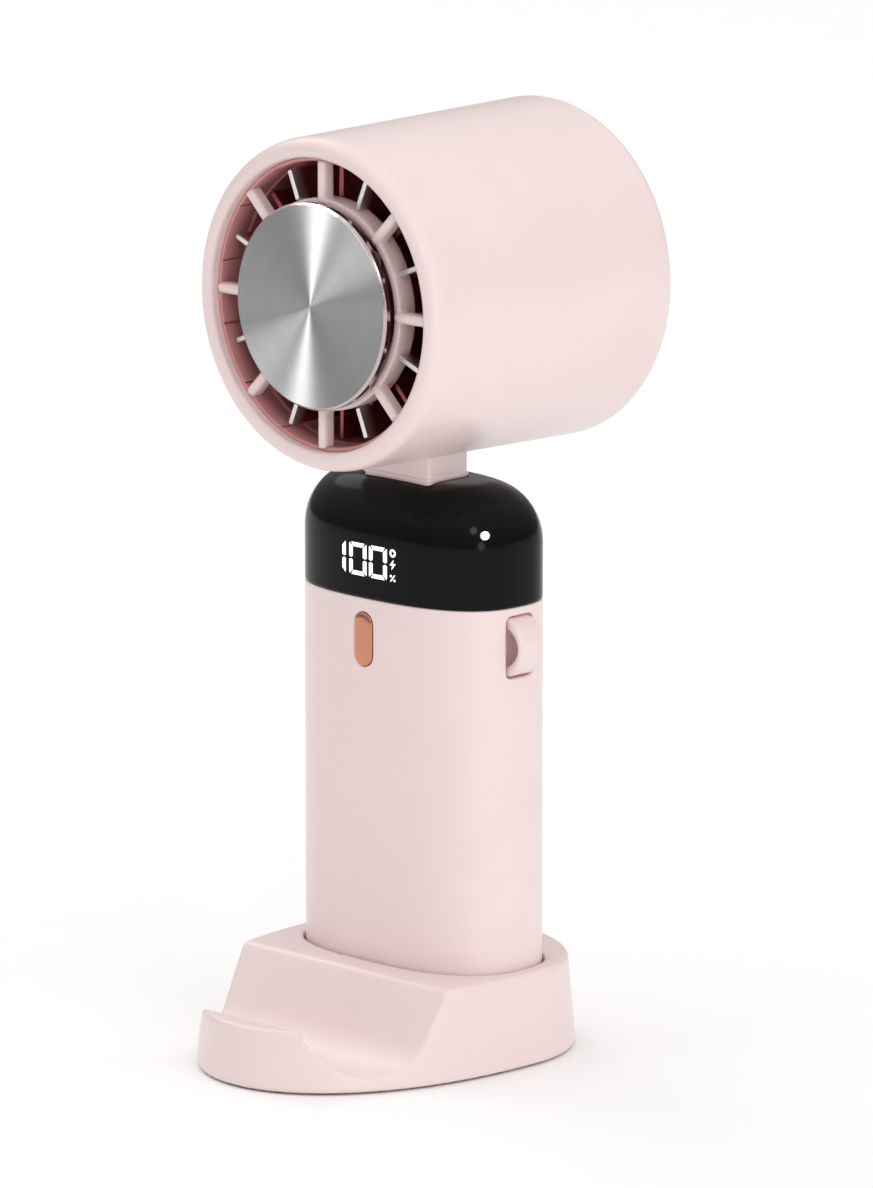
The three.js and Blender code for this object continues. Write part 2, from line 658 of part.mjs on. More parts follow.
function buildImpeller(head) {
  const hub = turned([
    [0, -6.5],
    [8, -6.5],
    [12, -5],
    [13, -2.5],
    [13, 8.5],
    [11.7, 8.5],
    [11.7, -3.3],
    [1.7, -3.3],
    [1.7, -1.6],
    [1.15, -1.6],
    [1.15, -5.2],
    [0, -5.2],
  ]);
  const blades = around(blade(12.6, 25, -4.5, 7.5, 0.55, 0.9), BLADES);
  piece("impeller", hub.add(blades), "pinkInner", head);

  const can = turned([
    [1.9, -3],
    [11.4, -3],
    [11.4, 8],
    [10.7, 8],
    [10.7, -2.4],
    [1.9, -2.4],
  ]);
  piece("rotor_can", can, "steel", head);
  piece("magnet_ring", tube(9.4, 10.5, -1.9, 7.6), "magnet", head);
  piece("motor_shaft", disc(1, -5, 13.4, 12), "steel", head);
}

function buildMotor(head) {
  // Six wound teeth on a core that is pushed on the bearing tube.
  const core = tube(4.5, 6, 0, 6, 18);
  const winding = block(-2.2, 2.2, -0.8, 6.8, 5.6, 8);
  const face = block(-2.9, 2.9, 0, 6, 7.9, 8.7);
  piece("stator", core.add(around(winding.add(face), 6)), "copper", head);
  for (const [name, y] of [["front_bearing", -1], ["rear_bearing", 8.4]]) {
    piece(name, tube(1.1, 2.85, y, y + 2.4, 20), "steel", head);
  }
  piece("motor_board", tube(4.6, 10, 8.8, 9.8, 28), "board", head);
}

function buildMotorMount(head) {
  // The bearing tube, the cup behind the motor, and the vanes that carry them from the duct's wall.
  const cup = turned([
    [3, -1.4],
    [4.2, -1.4],
    [4.2, 11.6],
    [12.4, 11.6],
    [13, 12.2],
    [13, 16.5],
    [11, 18.5],
    [0, 18.5],
    [0, 14],
    [3, 14],
  ]);
  const hoop = tube(24.2, DUCT_R - GAP, 12, 17.5, 36);
  const vane = blade(12.6, 24.6, 12.6, 17, -0.3, 1.1);
  piece("motor_mount", union(cup, hoop, around(vane, 7)), "pinkInner", head);
}

function buildDuct(head) {
  const [x0, x1, y0, y1] = WIREWAY;
  const slot = block(x0 - 0.2, x1 + 0.2, y0 - 0.2, y1 + 0.2, -35, -20);
  piece("duct_liner", tube(DUCT_R, BORE_R - 0.4, -20.7, 26, HEAD_SIDES).subtract(slot), "pinkInner", head);
}

function buildRearGrille(head) {
  const hoop = tube(25.4, BORE_R - GAP, 26.4, 31.4, HEAD_SIDES);
  const rings = [21.2, 16.4].map((radius) => tube(radius - 0.6, radius + 0.6, 28.2, 30.4, 32));
  const bar = block(-0.6, 0.6, 27.6, 30, 8, 25.7);
  const middle = turned([
    [0, 27],
    [9.4, 27],
    [9.4, 30],
    [8.4, 31],
    [0, 31.3],
  ]);
  piece("rear_grille", union(hoop, middle, ...rings, around(bar, 9)), "pink", head);
}

// The motor's and the module's leads in one sleeve, from the main board up into the neck.
function buildWiring() {
  const route = [
    [0, 7, 82],
    [0, 5.5, 87],
    [0, 1, 92],
    [0, -1.8, 97],
    [0, -2, 103],
    [0, -2, 109.6],
  ];
  const line = new THREE.CatmullRomCurve3(route.map((point) => new THREE.Vector3(...point)));
  const section = new THREE.Shape().absarc(0, 0, 1.1, 0, 2 * Math.PI);
  const geometry = new THREE.ExtrudeGeometry(section, {
    extrudePath: line,
    steps: 14,
    curveSegments: 4,
    bevelEnabled: false,
  });
  piece("head_wiring", solid(geometry), "black");
}

// ---------------------------------------------------------------- assembly
buildStand();
buildHandleShell();
buildLanyardLoop();
buildButtons();
buildPower();
buildHandleEnd();
buildDisplayCap();
buildNeckBracket();
buildHeadShell();

const head = new THREE.Group();
head.position.z = HEAD_Z;
model.add(head);
buildFrontGrille(head);
buildColdPlate(head);
buildHeatSink(head);
buildImpeller(head);
buildMotor(head);
buildMotorMount(head);
buildDuct(head);
buildRearGrille(head);
buildWiring();

export default model;
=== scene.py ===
"""Looks of a handheld cooling fan on its phone-holder stand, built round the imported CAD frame.

Shapes are worked out in millimetres, in the frame's own axes (+Z up, the fan blows towards -Y), and turned
into metres when a mesh is made. Pieces of the head are worked out round the head's axis.
"""

import json
import math

import bmesh
import bpy
import numpy as np
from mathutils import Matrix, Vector


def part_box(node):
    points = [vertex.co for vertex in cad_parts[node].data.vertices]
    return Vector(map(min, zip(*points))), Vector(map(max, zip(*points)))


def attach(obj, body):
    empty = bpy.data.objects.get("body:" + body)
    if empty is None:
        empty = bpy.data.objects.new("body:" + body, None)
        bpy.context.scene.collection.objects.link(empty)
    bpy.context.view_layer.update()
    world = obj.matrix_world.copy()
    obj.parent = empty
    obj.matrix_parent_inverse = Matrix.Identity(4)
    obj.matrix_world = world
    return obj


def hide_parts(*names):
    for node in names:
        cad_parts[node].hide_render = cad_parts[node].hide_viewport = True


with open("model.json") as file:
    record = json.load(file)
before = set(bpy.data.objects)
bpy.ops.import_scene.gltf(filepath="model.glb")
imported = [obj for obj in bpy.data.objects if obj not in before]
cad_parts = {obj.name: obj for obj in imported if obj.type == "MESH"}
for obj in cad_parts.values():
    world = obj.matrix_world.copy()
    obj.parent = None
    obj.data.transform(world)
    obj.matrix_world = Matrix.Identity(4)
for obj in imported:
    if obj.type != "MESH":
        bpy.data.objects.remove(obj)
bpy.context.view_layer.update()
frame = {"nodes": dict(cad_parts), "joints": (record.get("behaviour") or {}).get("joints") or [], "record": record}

MM = 0.001


def cad(node):
    """Lowest and highest corner of a CAD node, in millimetres."""
    return [np.array(corner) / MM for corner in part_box(node)]


# ---- sizes
HANDLE_LOW, HANDLE_HIGH = cad("handle_shell")
HANDLE_A = HANDLE_HIGH[0]
HANDLE_B = HANDLE_HIGH[1]
HANDLE_POWER = 2.6
HANDLE_WALL = 2.0
SEAM = 0.15  # between the handle and the display cap
CAP_BOTTOM = HANDLE_HIGH[2] + SEAM
CAP_TOP = cad("display_cap")[1][2]
CAP_SHOULDER = 9.5  # how far the shoulder comes in
CAP_RISE = 11.0
CAP_WALL = 1.6
SPIN = next(joint for joint in frame["joints"] if joint["name"] == "impeller_spin")
HEAD_Z = SPIN["pos_m"][2] / MM
HEAD_LOW, HEAD_HIGH = cad("head_shell")
HEAD_FRONT, HEAD_BACK = HEAD_LOW[1], HEAD_HIGH[1]
HEAD_R_BACK = HEAD_HIGH[0]
HEAD_R_FRONT = HEAD_R_BACK - 1.05
RIM_R = 27.4  # where the front rim is foremost
MOUTH_R = 26.2
BORE_R = 27.9
RIBS, GUARD_BARS, BLADES, STRUTS, DUCT_SLOTS = 8, 9, 11, 7, 14
HUB_INNER, HUB_OUTER, HUB_FRONT, HUB_BACK = 17.4, 18.9, -25.3, -21.2  # the ring round the plate
RIB_HALF_WIDTH, RIB_FRONT, RIB_BACK = 0.95, -26.1, -23.4
GUARD_RINGS, GUARD_RING_FRONT, GUARD_RING_BACK = ((20.6, 21.8), (15.8, 17.0)), 28.2, 30.4
FIN_TIP, FIN_FRONT, FIN_HALF_WIDTH = 24.7, -24.3, 0.45
BLOCK_R, BLOCK_FRONT, BLOCK_BACK = 16.6, -20.7, -17.7  # the disc that carries the fins
PLATE_R = cad("cold_plate")[1][0]
PLATE_FRONT = cad("cold_plate")[0][1]
LOOP_LOW, LOOP_HIGH = cad("lanyard_loop")
LOOP_Z = (LOOP_LOW[2] + LOOP_HIGH[2]) / 2
POCKET_FLOOR = LOOP_LOW[0] - 0.15
STAND_LOW, STAND_HIGH = cad("stand_shell")
STAND_BOTTOM, STAND_TOP = STAND_LOW[2], STAND_HIGH[2]
STAND_HALF_WIDTH, STAND_FRONT, STAND_BACK = 29.0, 48.7, 25.4
STAND_POWER, STAND_FRONT_POWER = 2.05, 2.3
STAND_DRAFT, STAND_BACK_DRAFT = 1.1, 1.8
SOCKET_FLOOR, SOCKET_CLEARANCE = 4.4, 0.4
PLATE_SEAT_INSET, PLATE_SEAT_TOP = 1.9, 2.0  # the recess that takes the bottom plate
TROUGH_Y, TROUGH_Z, TROUGH_REACH, TROUGH_DEPTH = -34.0, 11.6, 9.4, 8.6
TROUGH_LEAN = math.radians(60)
LIP_TOP = 11.4
NECK_HALF_WIDTH, NECK_FRONT, NECK_BACK = 8.2, -7.0, 3.2
NECK_BOTTOM = HEAD_LOW[2]
BADGE_LOW, BADGE_HIGH = cad("front_badge")
BADGE_CENTRE = (BADGE_LOW + BADGE_HIGH)[[0, 2]] / 2
BADGE_HALF = (BADGE_HIGH - BADGE_LOW)[[0, 2]] / 2
POCKET_HALF = (3.4, 5.7)
BUTTON_RADII = {"power_button": 4.2, "cooling_button": 3.6}
LIGHT_Z = 97.0
LIGHT_HEADING = math.radians(-29.7)
LIGHT_NEAR = (22.2, -7.0)  # a place near the status light, in X and Y
TILE_PROUD, TILE_SUNK = 0.03, 0.12  # how far the read-out's tiles stand out of the cap and go into it


# ---- outlines
def arc(x, y, rx, ry, start, end, steps):
    """Points along an elliptic arc, angles in degrees."""
    angles = np.radians(np.linspace(start, end, steps + 1))
    return [(x + rx * math.cos(a), y + ry * math.sin(a)) for a in angles]


def rounded(corners, steps=5):
    """A closed outline through (x, y, radius) corners, each rounded with an arc of its radius."""
    outline = []
    for i, (x, y, radius) in enumerate(corners):
        here = np.array((x, y), float)
        if radius == 0:
            outline.append((x, y))
            continue
        before = np.array(corners[i - 1][:2]) - here
        after = np.array(corners[(i + 1) % len(corners)][:2]) - here
        before /= np.linalg.norm(before)
        after /= np.linalg.norm(after)
        half = math.acos(float(np.clip(before @ after, -1, 1))) / 2
        middle = before + after
        centre = here + middle / np.linalg.norm(middle) * radius / math.sin(half)
        start = here + before * radius / math.tan(half) - centre
        end = here + after * radius / math.tan(half) - centre
        first = math.atan2(start[1], start[0])
        turn = (math.atan2(end[1], end[0]) - first + math.pi) % (2 * math.pi) - math.pi
        for k in range(steps + 1):
            angle = first + turn * k / steps
            outline.append((centre[0] + radius * math.cos(angle), centre[1] + radius * math.sin(angle)))
    return outline


def bar_outline(half_width, half_height, radius, steps=6):
    """A rectangle with rounded corners."""
    corners = [(half_width, half_height), (-half_width, half_height)]
    corners += [(-x, -y) for x, y in corners]
    return rounded([(x, y, radius) for x, y in corners], steps)


def power_of(value, exponent):
    """A sine or cosine bent for a superellipse of this exponent."""
    return np.sign(value) * np.abs(value) ** (2 / exponent)


def handle_oval(angles, inset=0.0):
    x = (HANDLE_A - inset) * power_of(np.cos(angles), HANDLE_POWER)
    y = (HANDLE_B - inset) * power_of(np.sin(angles), HANDLE_POWER)
    return x, y


def stand_oval(angles, inset=0.0):
    ahead = np.sin(angles) < 0
    depth = np.where(ahead, STAND_FRONT, STAND_BACK) - inset
    power = np.where(ahead, STAND_FRONT_POWER, STAND_POWER)
    x = (STAND_HALF_WIDTH - inset) * power_of(np.cos(angles), STAND_POWER)
    return x, depth * power_of(np.sin(angles), power)


def even_angles(shape, count):
    """The angles that divide a closed shape into stretches of even length."""
    dense = np.linspace(0, 2 * math.pi, 6001)
    x, y = shape(dense)
    length = np.concatenate([[0], np.cumsum(np.hypot(np.diff(x), np.diff(y)))])
    return np.interp(np.arange(count) / count * length[-1], length, dense)


def oval_rings(shape, profile, count=176):
    """One ring of points for each (inset, z) of a profile."""
    angles = even_angles(shape, count)
    return [np.stack([*shape(angles, inset), np.full(count, z)], 1) for inset, z in profile]


def upright_ring(outline, z):
    return np.array([(x, y, z) for x, y in outline])


def crosswise_ring(outline, y):
    """An outline in X and Z, at a depth."""
    return np.array([(x, y, z) for x, z in outline])


# ---- meshes
def in_scene(name, data):
    """A new object in the scene."""
    new = bpy.data.objects.new(name, data)
    bpy.context.scene.collection.objects.link(new)
    return new


def make(name, points, faces):
    """A mesh object from points in millimetres, with its faces pointing out."""
    mesh = bpy.data.meshes.new(name)
    mesh.from_pydata((np.asarray(points, float) * MM).tolist(), [], [list(map(int, f)) for f in faces])
    shape = bmesh.new()
    shape.from_mesh(mesh)
    bmesh.ops.remove_doubles(shape, verts=shape.verts, dist=1e-7)
    bmesh.ops.recalc_face_normals(shape, faces=shape.faces)
    shape.to_mesh(mesh)
    shape.free()
    return in_scene(name, mesh)


def loft(rings, closed=False):
    """Points and faces of a skin over rings of equal count; an open row of rings gets two end faces."""
    count = len(rings[0])
    points = np.concatenate(rings)
    faces = []
    pairs = len(rings) if closed else len(rings) - 1
    for level in range(pairs):
        low = level * count
        high = (level + 1) % len(rings) * count
        for i in range(count):
            j = (i + 1) % count
            faces.append((low + i, low + j, high + j, high + i))
    if not closed:
        faces.append(range(count - 1, -1, -1))
        faces.append(range(len(points) - count, len(points)))
    return points, faces


def lathe(profile, count=160):
    """Points and faces of a closed (radius, y) profile turned round the head's axis."""
    points, faces, rings = [], [], []
    turns = np.arange(count) * 2 * math.pi / count
    for radius, y in profile:
        on_axis = radius < 1e-6
        rings.append([len(points)] * count if on_axis else range(len(points), len(points) + count))
        around = [0.0] if on_axis else turns
        points += [(radius * math.sin(t), y, HEAD_Z + radius * math.cos(t)) for t in around]
    for low, high in zip(rings, rings[1:] + rings[:1]):
        for i in range(count):
            j = (i + 1) % count
            face = list(dict.fromkeys([low[i], low[j], high[j], high[i]]))
            if len(face) > 2:
                faces.append(face)
    return points, faces


def box_part(x0, x1, y0, y1, z0, z1):
    ring = np.array([(x0, y0, z0), (x1, y0, z0), (x1, y1, z0), (x0, y1, z0)])
    return loft([ring, ring + (0, 0, z1 - z0)])


def merged(parts):
    """Several parts' points and faces as one."""
    points, faces = [], []
    for more_points, more_faces in parts:
        first = len(points)
        points += [tuple(p) for p in more_points]
        faces += [[first + i for i in face] for face in more_faces]
    return points, faces


def turned_about_axis(part, degrees):
    """A part turned round the head's axis."""
    angle = math.radians(degrees)
    points = np.array(part[0], float)
    x, z = points[:, 0].copy(), points[:, 2] - HEAD_Z
    points[:, 0] = x * math.cos(angle) + z * math.sin(angle)
    points[:, 2] = HEAD_Z - x * math.sin(angle) + z * math.cos(angle)
    return points, part[1]


def repeated(part, count, start=0.0):
    """Copies of a part spread evenly round the head's axis, as one."""
    return merged([turned_about_axis(part, start + 360 * i / count) for i in range(count)])


def combine(piece, tool, operation="DIFFERENCE"):
    """Cuts a tool from a piece, or joins it on, and removes the tool."""
    modifier = piece.modifiers.new("combine", "BOOLEAN")
    modifier.object = tool
    modifier.operation = operation
    modifier.solver = "EXACT"
    bpy.context.view_layer.update()
    evaluated = piece.evaluated_get(bpy.context.evaluated_depsgraph_get())
    mesh = bpy.data.meshes.new_from_object(evaluated)
    piece.modifiers.clear()
    piece.data = mesh
    bpy.data.objects.remove(tool)
    return piece


def soften(piece, width, angle=40):
    """Bevels a piece's hard edges."""
    shape = bmesh.new()
    shape.from_mesh(piece.data)
    hard = [e for e in shape.edges if e.is_manifold and e.calc_face_angle() > math.radians(angle)]
    bmesh.ops.bevel(shape, geom=hard, offset=width * MM, segments=1, profile=0.5, affect="EDGES")
    shape.to_mesh(piece.data)
    shape.free()


def both(a, b, radius=0.0):
    """Where two fields meet, with the edge between them rounded."""
    if radius == 0:
        return np.maximum(a, b)
    a, b = a + radius, b + radius
    return np.minimum(np.maximum(a, b), 0) + np.hypot(np.maximum(a, 0), np.maximum(b, 0)) - radius


def either(a, b, radius=0.0):
    """Two fields joined, with a fillet in the corner between them."""
    return -both(-a, -b, radius)


def oval_field(x, y, half_width, front, back, power, front_power):
    """About how far a point is outside an oval, for points near its edge."""
    depth = np.where(y < 0, front, back)
    depth_power = np.where(y < 0, front_power, power)
    u, v = np.abs(x) / half_width, np.abs(y) / depth
    slope = np.hypot(power * u ** (power - 1) / half_width, depth_power * v ** (depth_power - 1) / depth)
    return (u**power + v**depth_power - 1) / (slope + 1e-9)


def net(field, low, high, step):
    """Points and faces of an even quad mesh over the surface where a field is zero."""
    axes = [np.arange(a - step, b + 2 * step, step) for a, b in zip(low, high)]
    inside = field(*np.meshgrid(*axes, indexing="ij")) < 0
    shape = [n - 1 for n in inside.shape]
    corners = np.zeros(shape, int)
    for i in range(8):
        offset = (i & 1, i >> 1 & 1, i >> 2)
        corners += inside[tuple(slice(o, o + n) for o, n in zip(offset, shape))]
    crossed = (corners > 0) & (corners < 8)
    number = np.full(shape, -1)
    number[crossed] = np.arange(crossed.sum())
    points = np.stack([axis[i] for axis, i in zip(axes, np.nonzero(crossed))], 1) + step / 2
    faces = []
    for axis in range(3):
        here = np.take(inside, range(shape[axis]), axis)
        there = np.take(inside, range(1, shape[axis] + 1), axis)
        edges = np.argwhere(here != there)
        u, v = np.eye(3, dtype=int)[[(axis + 1) % 3, (axis + 2) % 3]]
        quads = np.stack([number[tuple((edges - back).T)] for back in (0 * u, u, u + v, v)], 1)
        outward = here[tuple(edges.T)]
        faces.append(np.where(outward[:, None], quads, quads[:, ::-1]))
    faces = np.concatenate(faces)
    for relaxing in range(4):
        for _ in range(4):
            points = settled(field, points, step)
        if relaxing < 3:
            middles = points[faces].mean(1)
            total = np.zeros_like(points)
            for k in range(4):
                np.add.at(total, faces[:, k], middles)
            points = total / np.bincount(faces.ravel(), minlength=len(points))[:, None]
    return points, faces


def settled(field, points, step):
    """Points moved along the field's slope onto its surface."""
    small = 0.004
    value = field(*points.T)
    slope = np.stack(
        [
            (field(*(points + small * way).T) - field(*(points - small * way).T)) / (2 * small)
            for way in np.eye(3)
        ],
        1,
    )
    move = value / np.maximum((slope**2).sum(1), 0.05)
    return points - np.clip(move[:, None] * slope, -step / 2, step / 2)


# ---- materials
def material(name, colour, roughness, metallic=0.0, **sockets):
    """A new material, with the sockets that are the same all over it, and its nodes."""
    made = bpy.data.materials.new(name)
    made.use_nodes = True
    made.diffuse_color = (*colour, 1)
    shader = shader_of(made)
    shader.inputs["Base Color"].default_value = (*colour, 1)
    shader.inputs["Roughness"].default_value = roughness
    shader.inputs["Metallic"].default_value = metallic
    for socket, value in sockets.items():
        shader.inputs[socket.replace("_", " ")].default_value = value
    return made


def node(made, kind, **settings):
    new = made.node_tree.nodes.new(kind)
    for key, value in settings.items():
        if key in new.inputs:
            new.inputs[key].default_value = value
        else:
            setattr(new, key, value)
    return new


def link(made, source, target):
    made.node_tree.links.new(source, target)


def shader_of(made):
    return made.node_tree.nodes["Principled BSDF"]


def feed(made, source, socket):
    link(made, source, shader_of(made).inputs[socket])


def own_place(made):
    return node(made, "ShaderNodeTexCoord").outputs["Object"]


def noise(made, per_metre, detail=3.0, stretch=None):
    """A noise over the object's own coordinates, with this many waves to the metre."""
    place = own_place(made)
    if stretch:
        scaled = node(made, "ShaderNodeMapping", Scale=stretch)
        link(made, place, scaled.inputs["Vector"])
        place = scaled.outputs["Vector"]
    texture = node(made, "ShaderNodeTexNoise", Scale=per_metre, Detail=detail)
    link(made, place, texture.inputs["Vector"])
    return texture.outputs["Fac"]


def ranged(made, source, from_low, from_high, low=0.0, high=1.0):
    """A value carried from one range to another, and kept inside it."""
    ends = {"From Min": from_low, "From Max": from_high, "To Min": low, "To Max": high}
    mapped = node(made, "ShaderNodeMapRange", **ends)
    link(made, source, mapped.inputs["Value"])
    return mapped.outputs["Result"]


def spread(made, source, low, high):
    """The middle of a noise's range stretched from low to high."""
    return ranged(made, source, 0.3, 0.7, low, high)


def axes_of(made, vector):
    parts = node(made, "ShaderNodeSeparateXYZ")
    link(made, vector, parts.inputs["Vector"])
    return parts.outputs


def tint(made, source, colour, other):
    """Mixes the colour between two tones by a factor: a faint wander between close tones, or the fins' painted
    shade.
    """
    mix = node(made, "ShaderNodeMix", data_type="RGBA")
    colour_a, colour_b, colour_out = 6, 7, 2  # the sockets of a mix of colours
    mix.inputs[colour_a].default_value = (*colour, 1)
    mix.inputs[colour_b].default_value = (*other, 1)
    link(made, source, mix.inputs["Factor"])
    feed(made, mix.outputs[colour_out], "Base Color")


def bump(made, source, height, strength=1.0, before=None):
    """Relief of a height in metres."""
    relief = node(made, "ShaderNodeBump", Strength=strength, Distance=height)
    link(made, source, relief.inputs["Height"])
    if before:
        link(made, before, relief.inputs["Normal"])
    feed(made, relief.outputs["Normal"], "Normal")
    return relief.outputs["Normal"]


def moulded(name, colour, roughness, wander=0.03, grain=0.000012, **sockets):
    """Moulded plastic: a faint unevenness of tone and gloss, soft waviness, and a fine grain."""
    made = material(name, colour, roughness, **sockets)
    darker = tuple(c * (1 - wander) for c in colour)
    tint(made, spread(made, noise(made, 55), 0, 1), colour, darker)
    feed(made, spread(made, noise(made, 140, 5), roughness - 0.05, roughness + 0.05), "Roughness")
    waves = bump(made, noise(made, 160, 2), 0.00004, 0.25)
    bump(made, noise(made, 4200, 2), grain, 0.5, waves)
    return made


def metal(name, colour, roughness, stretch=None, per_metre=900, **sockets):
    """Metal with fine drawn or cast marks."""
    made = material(name, colour, roughness, 1.0, **sockets)
    marks = noise(made, per_metre, 5, stretch)
    darker = tuple(c * 0.9 for c in colour)
    tint(made, spread(made, noise(made, 120), 0, 1), colour, darker)
    feed(made, spread(made, marks, roughness - 0.07, roughness + 0.07), "Roughness")
    bump(made, marks, 0.00001, 0.4)
    return made


def painted_shade_fin_metal(name, colour, painted_shade_colour, front, depth):
    """Metal fins painted darker and warmer as they go back into the duct from a front in mm: painted shade, and a
    painted reflection of the pink duct.
    """
    made = metal(name, colour, 0.42, (1, 12, 1), Specular_IOR_Level=0.4)
    # Over this depth the fins' colour runs to a dark warm red: painted shade and painted reflection of the duct.
    share = ranged(made, axes_of(made, own_place(made))["Y"], front * MM, (front + depth) * MM)
    tint(made, share, colour, painted_shade_colour)
    return made


def spun_metal(name, colour, roughness, anisotropy):
    """Metal turned on a lathe: fine rings round Y, and a gloss that differs from ring to ring."""
    made = material(name, colour, roughness, 1.0, Anisotropic=anisotropy, Anisotropic_Rotation=0.25)
    moved = node(made, "ShaderNodeMapping", Location=(0, 0, -HEAD_Z * MM))
    link(made, own_place(made), moved.inputs["Vector"])
    axes = axes_of(made, moved.outputs["Vector"])
    flat = node(made, "ShaderNodeCombineXYZ")
    for axis in "XZ":
        link(made, axes[axis], flat.inputs[axis])
    radius = node(made, "ShaderNodeVectorMath", operation="LENGTH")
    link(made, flat.outputs["Vector"], radius.inputs[0])
    rings = node(made, "ShaderNodeTexNoise", noise_dimensions="1D", Scale=5200.0, Detail=6.0)
    link(made, radius.outputs["Value"], rings.inputs["W"])
    broad = node(made, "ShaderNodeTexNoise", noise_dimensions="1D", Scale=420.0, Detail=3.0)
    link(made, radius.outputs["Value"], broad.inputs["W"])
    darker = tuple(c * 0.96 for c in colour)
    tint(made, spread(made, broad.outputs["Fac"], 0, 1), colour, darker)
    gloss = spread(made, rings.outputs["Fac"], roughness - 0.06, roughness + 0.06)
    feed(made, gloss, "Roughness")
    bump(made, rings.outputs["Fac"], 0.000006, 0.35)
    grain = node(made, "ShaderNodeTangent", direction_type="RADIAL", axis="Y")
    feed(made, grain.outputs["Tangent"], "Tangent")
    return made


PINK = (0.83, 0.675, 0.662)
LOOKS = {
    "body_pink": moulded("body_pink", PINK, 0.4, Coat_Weight=0.5, Coat_Roughness=0.28),
    # The inner plastic is darker and redder than the body's pink; this tone is partly painted shade, set for the
    # inside of the duct.
    "inner_pink": moulded("inner_pink", (0.62, 0.27, 0.275), 0.38),
    "pad_rubber": moulded("pad_rubber", (0.27, 0.23, 0.23), 0.8, 0.1, 0.00005),
    "cap_black": moulded(
        "cap_black", (0.004, 0.004, 0.0042), 0.13, 0.2, 0.000001, Specular_IOR_Level=0.11
    ),
    "wire_black": moulded("wire_black", (0.02, 0.02, 0.02), 0.6, 0.2, 0.00003),
    "plate_aluminium": spun_metal("plate_aluminium", (0.385, 0.385, 0.388), 0.55, 0.95),
    # The fins' dark red tone further into the duct is painted shade and painted reflection of the pink duct.
    "fin_aluminium": painted_shade_fin_metal("fin_aluminium", (0.85, 0.84, 0.84), (0.42, 0.12, 0.12), -24.0, 2.6),
    "steel": metal("steel", (0.56, 0.57, 0.58), 0.28),
    "rose_gold": metal("rose_gold", (0.62, 0.27, 0.17), 0.2, (6, 1, 1)),
    "copper": metal("copper", (0.62, 0.26, 0.1), 0.35, (1, 1, 14)),
    "circuit_board": moulded("circuit_board", (0.02, 0.11, 0.045), 0.4, 0.25),
    "ceramic": moulded("ceramic", (0.82, 0.82, 0.79), 0.55, 0.05),
    "cell_wrap": moulded("cell_wrap", (0.07, 0.25, 0.5), 0.3, 0.1),
    "white_plastic": moulded("white_plastic", (0.78, 0.78, 0.75), 0.45),
    "magnet": moulded("magnet", (0.04, 0.04, 0.042), 0.6, 0.3, 0.00003),
    "light_white": moulded("light_white", (0.9, 0.9, 0.9), 0.3, 0.04, Emission_Strength=0.75),
}
shader_of(LOOKS["light_white"]).inputs["Emission Color"].default_value = (1, 1, 1, 1)
# The plate's polished edge: metal tinted pink, a painted reflection of the pink ring and ribs round it.
POLISHED_PAINTED_REFLECTION = metal("plate_edge_painted_reflection", (0.55, 0.47, 0.47), 0.2)
# A lighter, pinker copy of the body's pink for the pocket behind the strap loop: painted light in a recess that
# the loop shades.
POCKET_PAINTED_LIGHT = moulded("pocket_painted_light", (0.97, 0.66, 0.68), 0.5)
# A darker, redder copy of the pink for the impeller and motor mount deep in the duct: painted shade.
PAINTED_SHADE_PINK = moulded("painted_shade_pink", (0.66, 0.2, 0.22), 0.5)


def dress(piece, body, slot, *nodes, sharp=35):
    """Smooths a piece, gives it the material of its slot, ties it to its body, and hides the CAD nodes it stands
    for.
    """
    piece.data.shade_smooth()
    piece.data.set_sharp_from_angle(angle=math.radians(sharp))
    piece.data.materials.append(LOOKS[slot])
    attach(piece, body)
    if nodes:
        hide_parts(*nodes)
    return piece


# ---- camera, light and floor
def add_lamp(name, kind, place, target, **settings):
    data = bpy.data.lights.new(name, kind)
    for key, value in settings.items():
        setattr(data, key, value)
    lamp = in_scene(name, data)
    lamp.location = place
    lamp.rotation_euler = (lamp.location - Vector(target)).to_track_quat("Z", "Y").to_euler()
    return lamp


